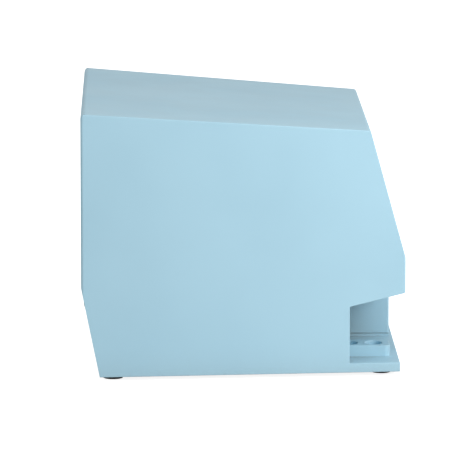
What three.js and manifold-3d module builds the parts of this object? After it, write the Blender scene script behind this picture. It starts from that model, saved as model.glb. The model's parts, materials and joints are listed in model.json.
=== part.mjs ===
// Counter-top parking pay station: painted cover, sloped front panel, open coin niche on the
// left of the front, rear service door, cash box, coin path, card reader and receipt printer.
// Millimetres, +Z up. The front faces -Y and +X is to the right of someone who stands in front.
// The origin is on the floor, under the middle of the object.
//
// Depths are written as the distance s in front of the back plane, so y = BACK_Y - s.

import * as THREE from 'three';
import { mergeVertices } from 'three/addons/utils/BufferGeometryUtils.js';
import Module from 'manifold-3d';

const wasm = await Module();
wasm.setup();

// ---------------------------------------------------------------- driving dimensions

const DEPTH = 319;              // back plane to the nose of the front
const BACK_Y = DEPTH / 2;
const HALF_WIDTH_BACK = 200;    // half of the width at the back plane
const TAPER = Math.tan(THREE.MathUtils.degToRad(5.5));   // each side leans in towards the front
const WALL = 3;                 // cover and panel thickness
const GAP = 0.3;                // clearance between neighbouring pieces
const CORNER_R = 2.5;           // vertical corners of the cover, seen from above

const FOOT_H = 4;               // everything but the feet stands this far off the floor
const BASE_TOP = 13;
const BASE_BACK = 18;
const BASE_FRONT = 314;
const BEND_Z = 92.5;            // where the back turns from sloping to upright
const TOP_BACK_Z = 264;
const TOP_FRONT_Z = 244;
const TOP_FRONT = 284;
const SLOPE_FOOT_Z = 117.5;     // foot of the sloped front panel
const NOSE_Z = 82.5;            // lower edge of the upright nose
const NOTCH_BACK = 264;         // back edge of the notch in the left side
const NOTCH_BACK_Z = 69.5;
const LOWER_FRONT = 310.5;      // front face of the lower right housing

const NICHE_BACK = 246;
const NICHE_RIGHT_X = -12;      // the face of the wall that closes the niche on its right

// ---------------------------------------------------------------- outlines

const CURVE_STEPS = 4;          // straight pieces in a rounded corner

const halfWidth = (s) => HALF_WIDTH_BACK - TAPER * s;
const underNose = (s) => NOSE_Z - (DEPTH - s) * (NOSE_Z - NOTCH_BACK_Z) / (DEPTH - NOTCH_BACK);
const backSlope = (z) => BASE_BACK * (BEND_Z - z) / (BEND_Z - FOOT_H);
const topZ = (s) => TOP_BACK_Z - s * (TOP_BACK_Z - TOP_FRONT_Z) / TOP_FRONT;
const frontSlope = (z) => DEPTH - (z - SLOPE_FOOT_Z) * (DEPTH - TOP_FRONT) / (TOP_FRONT_Z - SLOPE_FOOT_Z);
const BACK_LEAN = Math.hypot(1, BASE_BACK / (BEND_Z - FOOT_H));   // level / square thickness

function shapeOf(points) {
  return new THREE.Shape(points.map(([a, b]) => new THREE.Vector2(a, b)));
}

// A closed outline with every corner rounded by an arc of the same radius.
function roundedShape(points, radius) {
  return shapeOf(points.flatMap((corner, i) => {
    const here = new THREE.Vector2(...corner);
    const before = new THREE.Vector2(...points.at(i - 1)).sub(here).normalize();
    const after = new THREE.Vector2(...points[(i + 1) % points.length]).sub(here).normalize();
    const half = before.angleTo(after) / 2;
    const middle = before.clone().add(after).normalize().multiplyScalar(radius / Math.sin(half)).add(here);
    const start = before.multiplyScalar(radius / Math.tan(half)).add(here).sub(middle);
    const turn = Math.sign(start.cross(here.clone().sub(middle))) * (Math.PI - 2 * half);
    return Array.from({ length: CURVE_STEPS + 1 }, (_, k) => start.clone()
      .rotateAround(new THREE.Vector2(), turn * k / CURVE_STEPS).add(middle).toArray());
  }));
}

const roundedBox = (width, height, radius) => roundedShape(
  [[-width / 2, -height / 2], [width / 2, -height / 2], [width / 2, height / 2], [-width / 2, height / 2]],
  radius);

// ---------------------------------------------------------------- solids

const REACH = 240;              // longer than half of any side, for cutters that run right through
const ROUND = 24;               // sides of a small round part

function solidOf(geometry, place = new THREE.Matrix4()) {
  const bare = geometry.clone();
  bare.deleteAttribute('normal');
  bare.deleteAttribute('uv');
  bare.applyMatrix4(place);
  const merged = mergeVertices(bare, 1e-4);
  return new wasm.Manifold(new wasm.Mesh({
    numProp: 3,
    vertProperties: Float32Array.from(merged.attributes.position.array),
    triVerts: Uint32Array.from(merged.index.array),
  }));
}

function geometryOf(solid) {
  const mesh = solid.getMesh();
  const geometry = new THREE.BufferGeometry();
  geometry.setAttribute('position', new THREE.BufferAttribute(mesh.vertProperties, 3));
  geometry.setIndex(new THREE.BufferAttribute(mesh.triVerts, 1));
  geometry.computeVertexNormals();
  return geometry;
}

const unite = (first, ...others) => others.reduce((a, b) => a.add(b), first);
const cut = (first, ...others) => others.reduce((a, b) => a.subtract(b), first);

function extrude(shape, depth, place) {
  return solidOf(new THREE.ExtrudeGeometry(shape, { depth, bevelEnabled: false, curveSegments: 12 }), place);
}

// A box from its limits: x, s (distance in front of the back plane) and z.
function box([x0, x1], [s0, s1], [z0, z1]) {
  const place = new THREE.Matrix4().makeTranslation((x0 + x1) / 2, BACK_Y - (s0 + s1) / 2, (z0 + z1) / 2);
  return solidOf(new THREE.BoxGeometry(x1 - x0, s1 - s0, z1 - z0), place);
}

// A side outline of [s, z] points, swept across the object from x0 to x1.
const ACROSS = new THREE.Matrix4().makeBasis(
  new THREE.Vector3(0, 1, 0), new THREE.Vector3(0, 0, 1), new THREE.Vector3(1, 0, 0));

function sideways(points, x0 = -REACH, x1 = REACH) {
  const place = new THREE.Matrix4().makeTranslation(x0, 0, 0).multiply(ACROSS);
  return extrude(shapeOf(points.map(([s, z]) => [BACK_Y - s, z])), x1 - x0, place);
}

// A plan outline of [x, s] points, raised from z0 to z1.
function upright(points, z0, z1, radius = 0) {
  const plan = points.map(([x, s]) => [x, BACK_Y - s]);
  const shape = radius > 0 ? roundedShape(plan, radius) : shapeOf(plan);
  return extrude(shape, z1 - z0, new THREE.Matrix4().makeTranslation(0, 0, z0));
}

// A round rod or disc along one axis, from the middle of one end face to its other end.
const TURN = {
  x: new THREE.Matrix4().makeRotationZ(-Math.PI / 2),
  y: new THREE.Matrix4(),
  z: new THREE.Matrix4().makeRotationX(Math.PI / 2),
};
const AXIS = {
  x: new THREE.Vector3(1, 0, 0),
  y: new THREE.Vector3(0, 1, 0),
  z: new THREE.Vector3(0, 0, 1),
};

function rod(axis, [x, s, z], radius, length, sides = ROUND) {
  const middle = new THREE.Vector3(x, BACK_Y - s, z).addScaledVector(AXIS[axis], length / 2);
  const place = new THREE.Matrix4().makeTranslation(middle.x, middle.y, middle.z).multiply(TURN[axis]);
  return solidOf(new THREE.CylinderGeometry(radius, radius, length, sides), place);
}

// The plan of the cover between two depths, moved in from its outer faces.
function plan(inset, back, front) {
  const side = (s) => halfWidth(s) - inset * Math.hypot(1, TAPER);
  return [[-side(back), back], [side(back), back], [side(front), front], [-side(front), front]];
}
const insideWalls = (z0 = -REACH, z1 = 2 * REACH) => upright(plan(WALL + GAP, -20, DEPTH + 20), z0, z1);

// ---------------------------------------------------------------- scene graph

const paint = (color, roughness = 0.45) => new THREE.MeshStandardMaterial({ color, roughness, metalness: 0 });
const metal = (color, roughness = 0.35) => new THREE.MeshStandardMaterial({ color, roughness, metalness: 1 });
const LIGHT_BLUE = 0xa9d4e4;
const STEEL = 0xb8bcc0;
const DARK = 0x24282c;
const GREY = 0x8a9096;

const station = new THREE.Group();
const panelFrame = new THREE.Group();    // x across, y up the sloped panel, z out of it
panelFrame.position.set(0, BACK_Y - DEPTH, SLOPE_FOOT_Z);
panelFrame.rotation.x = Math.atan2(TOP_FRONT_Z - SLOPE_FOOT_Z, DEPTH - TOP_FRONT);
panelFrame.updateMatrix();
station.add(panelFrame);

function add(name, solid, material, group = station) {
  const mesh = new THREE.Mesh(geometryOf(solid), material);
  mesh.name = name;
  group.add(mesh);
}

// ---------------------------------------------------------------- cover, base and feet

const DOOR = { left: -153.2, right: 147, low: 104, high: 246 };        // opening in the back wall
const DRAWER = { left: -152, right: -38, low: 16, high: 80 };          // opening in the back slope
const INLET = { left: 100, right: 130, low: 36, high: 58 };
const VENTS = { left: -10, right: 80, low: 26, height: 4, pitch: 10, count: 5 };
const THROUGH_BACK = [-5, 30];  // depths of a cutter that runs through the back slope
const EASE = 0.3;               // keeps two cutters from ending on the same level

function coverShell() {
  const outline = [[BASE_BACK, FOOT_H], [0, BEND_Z], [0, TOP_BACK_Z], [TOP_FRONT, TOP_FRONT_Z],
    [DEPTH, SLOPE_FOOT_Z], [DEPTH, NOSE_Z], [LOWER_FRONT, underNose(LOWER_FRONT)],
    [LOWER_FRONT, BASE_TOP], [BASE_FRONT, BASE_TOP], [BASE_FRONT, FOOT_H]];
  const outside = sideways(outline).intersect(upright(plan(0, 0, DEPTH), 0, TOP_BACK_Z + 1, CORNER_R));
  const below = FOOT_H - 24;    // the inner cutter runs out well under the base
  const wallTop = WALL * Math.hypot(1, (TOP_BACK_Z - TOP_FRONT_Z) / TOP_FRONT);
  const beyond = DEPTH + 21;    // and well past the nose
  const inside = sideways([[backSlope(below) + WALL * BACK_LEAN, below], [WALL, BEND_Z + EASE],
    [WALL, topZ(WALL) - wallTop], [beyond, topZ(beyond) - wallTop], [beyond, below]])
    .intersect(upright(plan(WALL, -20, beyond), -REACH, REACH + 60));
  const notch = sideways([[NOTCH_BACK, NOTCH_BACK_Z], [NOTCH_BACK, BASE_TOP], [beyond, BASE_TOP],
    [beyond, underNose(beyond)]], -REACH, 0);
  const ventSlots = Array.from({ length: VENTS.count }, (_, i) => VENTS.low + i * VENTS.pitch)
    .map((z) => box([VENTS.left, VENTS.right], THROUGH_BACK, [z, z + VENTS.height]));
  return cut(outside, inside, notch,
    box([DOOR.left, DOOR.right], [-5, WALL + 5], [DOOR.low, DOOR.high]),
    box([DRAWER.left, DRAWER.right], THROUGH_BACK, [DRAWER.low, DRAWER.high]),
    box([INLET.left, INLET.right], THROUGH_BACK, [INLET.low, INLET.high]), ...ventSlots);
}

const FEET = {
  foot_rear_left: [-176, 31],
  foot_rear_right: [176, 31],
  foot_front_left: [-147, 296],
  foot_front_right: [147, 296],
};
const FOOT_R = 10;
const BOSS_R = 12;              // the bosses in the base plate that the feet are screwed to

function basePlate() {
  const skin = 2.5;
  const back = 21.6;
  const body = upright(plan(WALL + GAP, back, BASE_FRONT), FOOT_H, BASE_TOP);
  const hollow = upright(plan(WALL + GAP + skin, back + skin, BASE_FRONT - skin), FOOT_H - 1, BASE_TOP - skin);
  const bosses = Object.values(FEET).map(([x, s]) => rod('z', [x, s, FOOT_H], BOSS_R, BASE_TOP - FOOT_H - 1));
  return unite(cut(body, hollow), ...bosses).intersect(body);
}

function foot([x, s]) {
  const height = FOOT_H - GAP;
  const profile = [[0, 0], [FOOT_R - 1, 0], [FOOT_R, 1], [FOOT_R - 0.6, height], [0, height]]
    .map(([r, z]) => new THREE.Vector2(r, z));
  const upFromY = new THREE.Matrix4().makeRotationX(Math.PI / 2);
  const place = new THREE.Matrix4().makeTranslation(x, BACK_Y - s, 0).multiply(upFromY);
  const screwSink = rod('z', [x, s, -1], 3.6, 3);
  return solidOf(new THREE.LatheGeometry(profile, ROUND), place).subtract(screwSink);
}

add('cover_shell', coverShell(), paint(LIGHT_BLUE));
add('base_plate', basePlate(), paint(LIGHT_BLUE));
for (const [name, place] of Object.entries(FEET)) {
  add(name, foot(place), paint(0x1c1d1f, 0.9));
}

// ---------------------------------------------------------------- front panel and what it holds

const FACE_INSET = 0.8;         // the panel sits this far inside the front edges of the cover
const SCREEN = { u: -62, v: 68, width: 166, height: 102 };
const READER = { u: 112, v: 84, width: 78, height: 62 };
const CAP = { width: 26, height: 15, radius: 4 };
const ROUND_CAP_R = 11;
const PUSH_BUTTONS = {
  menu_button_1: { u: 46, v: 35 },
  menu_button_2: { u: 46, v: 59 },
  menu_button_3: { u: 46, v: 83 },
  menu_button_4: { u: 46, v: 107 },
  cancel_button: { u: 90, v: 29, round: true },
  confirm_button: { u: 132, v: 29, round: true },
};
const COIN_SLOT = { x: -110, z: 100, width: 32, height: 4 };
const RETURN_BUTTON = { x: -76, z: 100, radius: 7 };
const SPEAKER = { x: 50, z: 101, radius: 15, magnet: 9 };
const SOUND_SLOTS = { count: 6, pitch: 6, width: 2, height: 18 };
const SWITCH_BOARD = { u: 46, v: 71, width: 24, height: 100 };
const THROUGH_NOSE = [305, 330];    // depths of a cutter that runs through the upright nose
const LIP = 2.5;                    // thickness of the panel's turned-under lip

// What lies where on the sloped panel, as heights above its face; below the face is negative.
const LAYER = {
  through: [-9, 6],
  glassSeat: [-2.2, 6],
  glass: [-1.9, 0.1],
  lcd: [-10, -4.2],
  bracket: [-12.5, -10.4],
  bracketWindow: [-14, -9],
  bracketCheek: [-12, -4.4],
  switchBoard: [-10.6, -9],
  switches: [-9.5, -7.4],
  readerPad: [-4, 0.6],
  readerBody: [-16, -3.5],
  cap: [-5, 1],
  capFlange: [-5.3, -3.9],
};

const onPanel = (u, v, w) => new THREE.Matrix4().makeTranslation(u, v, w);
const panelPrism = (shape, u, v, [low, high]) => extrude(shape, high - low, onPanel(u, v, low));

function capShape(button, grow = 0) {
  return button.round ? roundedBox(2 * (ROUND_CAP_R + grow), 2 * (ROUND_CAP_R + grow), ROUND_CAP_R + grow - 0.5)
    : roundedBox(CAP.width + 2 * grow, CAP.height + 2 * grow, CAP.radius + grow);
}

function frontPanel() {
  const face = frontSlope(TOP_FRONT_Z) - FACE_INSET;
  const topEdge = topZ(face) - WALL - GAP - 0.1;
  const lift = 0.5;
  const flangeBack = 300;
  const square = WALL / Math.sin(panelFrame.rotation.x);
  const outline = [[frontSlope(topEdge) - FACE_INSET, topEdge], [DEPTH - FACE_INSET, SLOPE_FOOT_Z],
    [DEPTH - FACE_INSET, underNose(DEPTH) + lift], [flangeBack, underNose(flangeBack) + lift],
    [flangeBack, underNose(flangeBack) + lift + LIP], [DEPTH - FACE_INSET - WALL, NOSE_Z + lift + LIP],
    [DEPTH - FACE_INSET - WALL, SLOPE_FOOT_Z], [frontSlope(topEdge) - FACE_INSET - square, topEdge]];
  const onSlope = [];
  const glassSeat = roundedBox(SCREEN.width + 1, SCREEN.height + 1, 4);
  onSlope.push(panelPrism(glassSeat, SCREEN.u, SCREEN.v, LAYER.glassSeat));
  onSlope.push(panelPrism(roundedBox(SCREEN.width - 10, SCREEN.height - 10, 2), SCREEN.u, SCREEN.v, LAYER.through));
  onSlope.push(panelPrism(roundedBox(READER.width + 0.8, READER.height + 0.8, 8.4), READER.u, READER.v,
    LAYER.through));
  for (const button of Object.values(PUSH_BUTTONS)) {
    onSlope.push(panelPrism(capShape(button, 0.4), button.u, button.v, LAYER.through));
  }
  const holes = onSlope.map((cutter) => solidOf(geometryOf(cutter), panelFrame.matrix));
  const coinSlot = box([COIN_SLOT.x - 20, COIN_SLOT.x + 20], THROUGH_NOSE,
    [COIN_SLOT.z - 8, COIN_SLOT.z + 8]);
  const [behind, before] = THROUGH_NOSE;
  const returnHole = rod('y', [RETURN_BUTTON.x, before, RETURN_BUTTON.z], RETURN_BUTTON.radius + 0.4,
    before - behind);
  const soundSlots = Array.from({ length: SOUND_SLOTS.count }, (_, i) => {
    const x = SPEAKER.x + (i - (SOUND_SLOTS.count - 1) / 2) * SOUND_SLOTS.pitch;
    return box([x - SOUND_SLOTS.width / 2, x + SOUND_SLOTS.width / 2], THROUGH_NOSE,
      [SPEAKER.z - SOUND_SLOTS.height / 2, SPEAKER.z + SOUND_SLOTS.height / 2]);
  });
  return cut(sideways(outline).intersect(insideWalls()), ...holes, coinSlot, returnHole, ...soundSlots);
}

function pushButton(button) {
  const cap = panelPrism(capShape(button), button.u, button.v, LAYER.cap);
  const flange = panelPrism(capShape(button, 2), button.u, button.v, LAYER.capFlange);
  return unite(cap, flange);
}

function displayBracket() {
  const plate = panelPrism(roundedBox(SCREEN.width + 16, SCREEN.height + 8, 3), SCREEN.u, SCREEN.v, LAYER.bracket);
  const window = panelPrism(roundedBox(SCREEN.width - 60, SCREEN.height - 50, 6), SCREEN.u, SCREEN.v,
    LAYER.bracketWindow);
  const cheeks = [-1, 1].map((side) => panelPrism(roundedBox(2, SCREEN.height - 14, 0.5),
    SCREEN.u + side * (SCREEN.width / 2 + 5), SCREEN.v, LAYER.bracketCheek));
  return unite(cut(plate, window), ...cheeks);
}

function switchBoard() {
  const { u, v, width, height } = SWITCH_BOARD;
  const board = panelPrism(roundedBox(width, height, 1), u, v, LAYER.switchBoard);
  const switches = Object.values(PUSH_BUTTONS).filter((b) => !b.round)
    .map((b) => panelPrism(roundedBox(6, 6, 0.5), b.u, b.v, LAYER.switches));
  return unite(board, ...switches);
}

function contactlessReader() {
  const pad = panelPrism(roundedBox(READER.width, READER.height, 8), READER.u, READER.v, LAYER.readerPad);
  const body = panelPrism(roundedBox(READER.width - 6, READER.height - 6, 3), READER.u, READER.v, LAYER.readerBody);
  return unite(pad, body);
}

add('front_panel', frontPanel(), paint(LIGHT_BLUE));
add('display_glass', panelPrism(roundedBox(SCREEN.width, SCREEN.height, 3.6), SCREEN.u, SCREEN.v, LAYER.glass),
  paint(0x101418, 0.08), panelFrame);
add('lcd_module', panelPrism(roundedBox(SCREEN.width - 2, SCREEN.height - 2, 1), SCREEN.u, SCREEN.v, LAYER.lcd),
  paint(DARK), panelFrame);
add('display_bracket', displayBracket(), metal(STEEL), panelFrame);
add('switch_board', switchBoard(), paint(0x1f6b3a), panelFrame);
add('contactless_reader', contactlessReader(), paint(DARK, 0.3), panelFrame);
for (const [name, button] of Object.entries(PUSH_BUTTONS)) {
  add(name, pushButton(button), paint(GREY), panelFrame);
}

// ---------------------------------------------------------------- niche, tray and lower housing

const TRAY = { left: -133, right: -97, back: 250, front: 306, top: 24, cups: [266, 290] };
const CUP = { across: 11.5, along: 8, depth: 8 };  // half axes of an oval cup, and its depth
const PLINTH = { top: BASE_TOP + 2.6, thick: 2.5 };  // the low strip that carries the lower housing
const OUTLET = { left: -131, right: -89, low: 26, high: 60 };
const FLAP_AXIS = { s: 247.3, z: 58, barrel: 1.8, bore: 1.1, pin: 0.8 };

function nicheLiner() {
  const lift = 0.5;
  const thick = 2.5;
  const front = 299.6;
  const ceiling = (s) => underNose(s) + lift;
  const outline = [[front, ceiling(front)], [NICHE_BACK + thick, ceiling(NICHE_BACK + thick)],
    [NICHE_BACK + thick, BASE_TOP + GAP], [NICHE_BACK, BASE_TOP + GAP],
    [NICHE_BACK, ceiling(NICHE_BACK) + thick], [front, ceiling(front) + thick]];
  const body = sideways(outline, -REACH, NICHE_RIGHT_X - GAP).intersect(insideWalls());
  return cut(body, box([OUTLET.left, OUTLET.right], [240, 255], [OUTLET.low, OUTLET.high]),
    flapRod(FLAP_AXIS.bore, OUTLET.left - 3, OUTLET.right + 3));
}

const flapRod = (radius, x0, x1) => rod('x', [x0, FLAP_AXIS.s, FLAP_AXIS.z], radius, x1 - x0, 16);

function coinFlap() {
  const gap = 0.8;
  const [left, right] = [OUTLET.left + gap, OUTLET.right - gap];
  const plate = box([left, right], [FLAP_AXIS.s - 1, FLAP_AXIS.s + 0.8], [OUTLET.low + 1, FLAP_AXIS.z]);
  return cut(unite(plate, flapRod(FLAP_AXIS.barrel, left, right)),
    flapRod(FLAP_AXIS.bore, left - 1, right + 1));
}

function coinTray() {
  const body = upright([[TRAY.left, TRAY.back], [TRAY.right, TRAY.back], [TRAY.right, TRAY.front],
    [TRAY.left, TRAY.front]], BASE_TOP + GAP, TRAY.top, 6);
  const middle = (TRAY.left + TRAY.right) / 2;
  const oval = new THREE.Shape().absellipse(0, 0, CUP.across, CUP.along, 0, 2 * Math.PI);
  const cups = TRAY.cups.map((s) => extrude(oval, CUP.depth + 1,
    new THREE.Matrix4().makeTranslation(middle, BACK_Y - s, TRAY.top - CUP.depth)));
  return cut(body, ...cups);
}

const CARD = { x: 61, z: 60 };
const RECEIPT = { x: 130, z: 36 };
const THROUGH_FRONT = [300, 320];   // depths of a cutter that runs through the housing's front
const HOUSING_WALL = 2.5;
const HOUSING_RIGHT = halfWidth(LOWER_FRONT) - WALL - GAP - 0.6;

function lowerHousing() {
  const thick = HOUSING_WALL;
  const back = NICHE_BACK;
  const right = HOUSING_RIGHT;
  const roof = (s) => underNose(s) + 0.2;
  const foot = PLINTH.top + GAP;
  const outline = [[back, foot], [LOWER_FRONT, foot], [LOWER_FRONT, roof(LOWER_FRONT)], [back, roof(back)]];
  const outside = upright([[NICHE_RIGHT_X, 200], [right, 200], [right, LOWER_FRONT], [NICHE_RIGHT_X, LOWER_FRONT]],
    0, 100, 1.5);
  const hollow = upright([[NICHE_RIGHT_X + thick, 180], [REACH, 180], [REACH, LOWER_FRONT - thick],
    [NICHE_RIGHT_X + thick, LOWER_FRONT - thick]], -1, 101);
  return cut(sideways(outline).intersect(outside), hollow,
    box([CARD.x - 30.3, CARD.x + 30.3], THROUGH_FRONT, [CARD.z - 6.3, CARD.z + 6.3]),
    box([RECEIPT.x - 30.8, RECEIPT.x + 30.8], THROUGH_FRONT, [RECEIPT.z - 6.3, RECEIPT.z + 6.3]));
}

// The strip follows the housing's left wall and its front wall, and shows as a line below them.
function housingPlinth() {
  const [low, high] = [BASE_TOP + GAP, PLINTH.top];
  const side = box([NICHE_RIGHT_X, NICHE_RIGHT_X + PLINTH.thick], [NICHE_BACK, LOWER_FRONT], [low, high]);
  const front = box([NICHE_RIGHT_X, HOUSING_RIGHT], [LOWER_FRONT - PLINTH.thick, LOWER_FRONT], [low, high]);
  return unite(side, front);
}

// A slot surround: a thin rounded face plate with a collar that fits the hole behind it.
function slotBezel({ x, z, face, proud, width, height, mouth, slot, depth }) {
  const out = new THREE.Matrix4().makeTranslation(x, BACK_Y - face, z)
    .multiply(new THREE.Matrix4().makeRotationX(Math.PI / 2));
  const ring = extrude(roundedBox(width + 4, height + 4, 3), proud, out);
  const collar = box([x - width / 2, x + width / 2], [face - depth, face + 0.5], [z - height / 2, z + height / 2]);
  const recess = box([x - slot / 2, x + slot / 2], [face - depth - 1, face + 5], [z - mouth / 2, z + mouth / 2]);
  return cut(unite(ring, collar), recess);
}

add('niche_liner', nicheLiner(), paint(LIGHT_BLUE));
add('coin_return_flap', coinFlap(), paint(0x6f8f9c));
add('flap_pin', flapRod(FLAP_AXIS.pin, OUTLET.left - 2.5, OUTLET.right + 2.5), metal(STEEL));
add('coin_tray', coinTray(), paint(0xa3cfe0));
add('lower_front_housing', lowerHousing(), paint(LIGHT_BLUE));
add('housing_plinth', housingPlinth(), paint(LIGHT_BLUE));

// ---------------------------------------------------------------- slots in the front

const cardBezel = slotBezel({
  x: CARD.x, z: CARD.z, face: LOWER_FRONT, proud: 1.2, width: 60, height: 12, mouth: 6, slot: 56, depth: 8 });
const receiptBezel = slotBezel({
  x: RECEIPT.x, z: RECEIPT.z, face: LOWER_FRONT, proud: 1.2, width: 61, height: 12, mouth: 6, slot: 58, depth: 8 });
const coinBezel = slotBezel({
  x: COIN_SLOT.x, z: COIN_SLOT.z, face: DEPTH - FACE_INSET, proud: FACE_INSET, width: 39.4, height: 15.4,
  mouth: COIN_SLOT.height, slot: COIN_SLOT.width, depth: 5 });

function cardReader() {
  const body = box([CARD.x - 31, CARD.x + 31], [214, 302], [CARD.z - 10, CARD.z + 9]);
  const path = box([CARD.x - 27.5, CARD.x + 27.5], [232, 305], [CARD.z - 1.5, CARD.z + 1.5]);
  return cut(body, path);
}

add('card_slot_bezel', cardBezel, paint(DARK, 0.3));
add('card_reader', cardReader(), paint(DARK));
add('receipt_slot_bezel', receiptBezel, paint(DARK, 0.3));
add('coin_slot_bezel', coinBezel, metal(STEEL));

// ---------------------------------------------------------------- coin path

const CHUTE = { front: 312, back: 238, width: 38, height: 12, skin: 2, drop: 17.5 };
const LEVER = { s: 291, z: 120, left: -81, right: -72, pin: 2, hub: 5, tip: 97 };
const EAR = { left: -90, right: -87, low: 88, reach: 7 };   // carries the lever's pin on the chute
const ACCEPTOR = { left: -134, right: -86, back: 197, front: 243, top: 70 };

function coinChute() {
  const low = COIN_SLOT.z - CHUTE.height / 2;
  const tube = (grow, over) => sideways([
    [CHUTE.front + over, low - grow], [CHUTE.front + over, low + CHUTE.height + grow],
    [CHUTE.back - over, low + CHUTE.height + grow - CHUTE.drop], [CHUTE.back - over, low - grow - CHUTE.drop],
  ], COIN_SLOT.x - CHUTE.width / 2 - grow, COIN_SLOT.x + CHUTE.width / 2 + grow);
  const along = [LEVER.s - EAR.reach, LEVER.s + EAR.reach];
  const ear = box([EAR.left, EAR.right], along, [EAR.low, LEVER.z + 6]);
  const weld = box([EAR.left - 1.5, EAR.right], along, [EAR.low, EAR.low + 10]);
  const pin = rod('x', [EAR.right - 1, LEVER.s, LEVER.z], LEVER.pin, 18);
  return unite(cut(tube(0, 0), tube(-CHUTE.skin, 1)), weld, ear, pin);
}

function rejectLever() {
  const { left, right } = LEVER;
  const hub = rod('x', [left, LEVER.s, LEVER.z], LEVER.hub, right - left);
  const arm = box([left, right], [LEVER.s - 2, LEVER.s + 2], [LEVER.tip, LEVER.z]);
  return cut(unite(hub, arm), rod('x', [left - 1, LEVER.s, LEVER.z], LEVER.pin + GAP, right - left + 2));
}

function returnButton() {
  const { x, z, radius } = RETURN_BUTTON;
  const face = DEPTH - FACE_INSET;
  const cap = rod('y', [x, face + FACE_INSET, z], radius, 6, 32);
  const flange = rod('y', [x, face - WALL - 0.4, z], radius + 2, 1.6, 32);
  const stem = rod('y', [x, face - WALL - 1, z], 2.5, face - WALL - 1 - (LEVER.s + 2 + 0.4), 16);
  return unite(cap, flange, stem);
}

function coinAcceptor() {
  const body = box([ACCEPTOR.left, ACCEPTOR.right], [ACCEPTOR.back, ACCEPTOR.front], [BASE_TOP + GAP, ACCEPTOR.top]);
  const outlet = box([OUTLET.left + 4, OUTLET.right - 4], [222, 250], [OUTLET.low + 2, 56]);
  const entry = box([-125, -95], [212, 226], [60, 75]);
  return cut(body, outlet, entry);
}

const HOPPER = { x: -110, s: 135, size: 80, low: 85.3, disc: 32 };
const POCKETS = { count: 5, ring: 18.5, radius: 9.5 };     // the holes of the disc that lift the coins
const SHEET = 2;                                           // thickness of folded and welded sheet

function hopperBlock(low, high) {
  const half = HOPPER.size / 2;
  return box([HOPPER.x - half, HOPPER.x + half], [HOPPER.s - half, HOPPER.s + half], [low, high]);
}
const hopperRound = (radius, low, high, sides = 40) => rod('z', [HOPPER.x, HOPPER.s, low], radius, high - low, sides);

function hopperDisc() {
  const pockets = Array.from({ length: POCKETS.count }, (_, i) => {
    const turn = 2 * Math.PI * i / POCKETS.count;
    return rod('z', [HOPPER.x + POCKETS.ring * Math.cos(turn), HOPPER.s + POCKETS.ring * Math.sin(turn), 90],
      POCKETS.radius, 20);
  });
  return unite(cut(hopperRound(HOPPER.disc - 0.6, 94, 101), ...pockets), hopperRound(6, 87, 104, ROUND));
}

function hopperBin() {
  const inner = HOPPER.size / 2 - 2;
  const hollow = box([HOPPER.x - inner, HOPPER.x + inner], [HOPPER.s - inner, HOPPER.s + inner], [107, 160]);
  return cut(hopperBlock(103.3, 150), hollow, hopperRound(HOPPER.disc, 100, 110));
}

// A gearbox against the hopper, with the round motor on the side that faces the rear door.
function hopperGearmotor() {
  const { left, right, back, front, top, radius, length } = GEARMOTOR;
  const gearbox = box([left, right], [back, front], [HOPPER.low, top]);
  return unite(gearbox, rod('y', [-56, back + 0.5, top - radius], radius, length));
}

// A table of folded sheet: a flat top over two side flanges that stand on the base plate.
function foldedTable([x0, x1], [s0, s1], top) {
  return cut(box([x0, x1], [s0, s1], [BASE_TOP + GAP, top]),
    box([x0 + SHEET, x1 - SHEET], [s0 - 1, s1 + 1], [0, top - SHEET]));
}

const BIN = { left: -147, right: -43, back: 34, front: 182, low: 17, high: 77 };
const GRIP = { left: -117, right: -73, low: 54, high: 66 };    // the finger hole in the cash box's front
const DECK = { left: -166, right: -28, back: 60, front: 186, top: 85 };
const GEARMOTOR = { left: -69.4, right: -42, back: 112, front: 158, top: 108, radius: 11, length: 26 };
const CHANNEL = { left: -151, right: -39, back: 24, front: 188, top: 32 };

function cashBox() {
  const body = box([BIN.left, BIN.right], [BIN.back, BIN.front], [BIN.low, BIN.high]);
  return cut(body, box([BIN.left + SHEET, BIN.right - SHEET], [BIN.back + SHEET, BIN.front - SHEET],
    [BIN.low + SHEET, BIN.high + 1]));
}

function cashBoxFront() {
  const fit = 1;
  const [x0, x1] = [DRAWER.left + fit, DRAWER.right - fit];
  const [z0, z1] = [DRAWER.low + fit, DRAWER.high - fit];
  const inner = (z) => backSlope(z) + WALL * BACK_LEAN;
  const slab = sideways([[backSlope(z0), z0], [backSlope(z1), z1], [inner(z1), z1], [inner(z0), z0]], x0, x1);
  const skirt = box([BIN.left, BIN.right], [5, BIN.back - GAP], [BIN.low + 0.5, BIN.high]);
  const hollow = box([BIN.left + SHEET, BIN.right - SHEET], [0, BIN.back + 1], [BIN.low + 2.5, BIN.high - SHEET]);
  const outerSide = sideways([[backSlope(z0) + 1, z0], [backSlope(z1) + 1, z1], [60, z1], [60, z0]]);
  const grip = box([GRIP.left, GRIP.right], THROUGH_BACK, [GRIP.low, GRIP.high]);
  return cut(unite(slab, cut(skirt, hollow).intersect(outerSide)), grip);
}

function cashBoxGuide() {
  const { left, right, back, front, top } = CHANNEL;
  const channel = box([left, right], [back, front], [BASE_TOP + GAP, top]);
  return cut(channel, box([left + SHEET, right - SHEET], [back - 4, front + 12], [BASE_TOP + GAP + SHEET, top + 8]));
}

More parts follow.
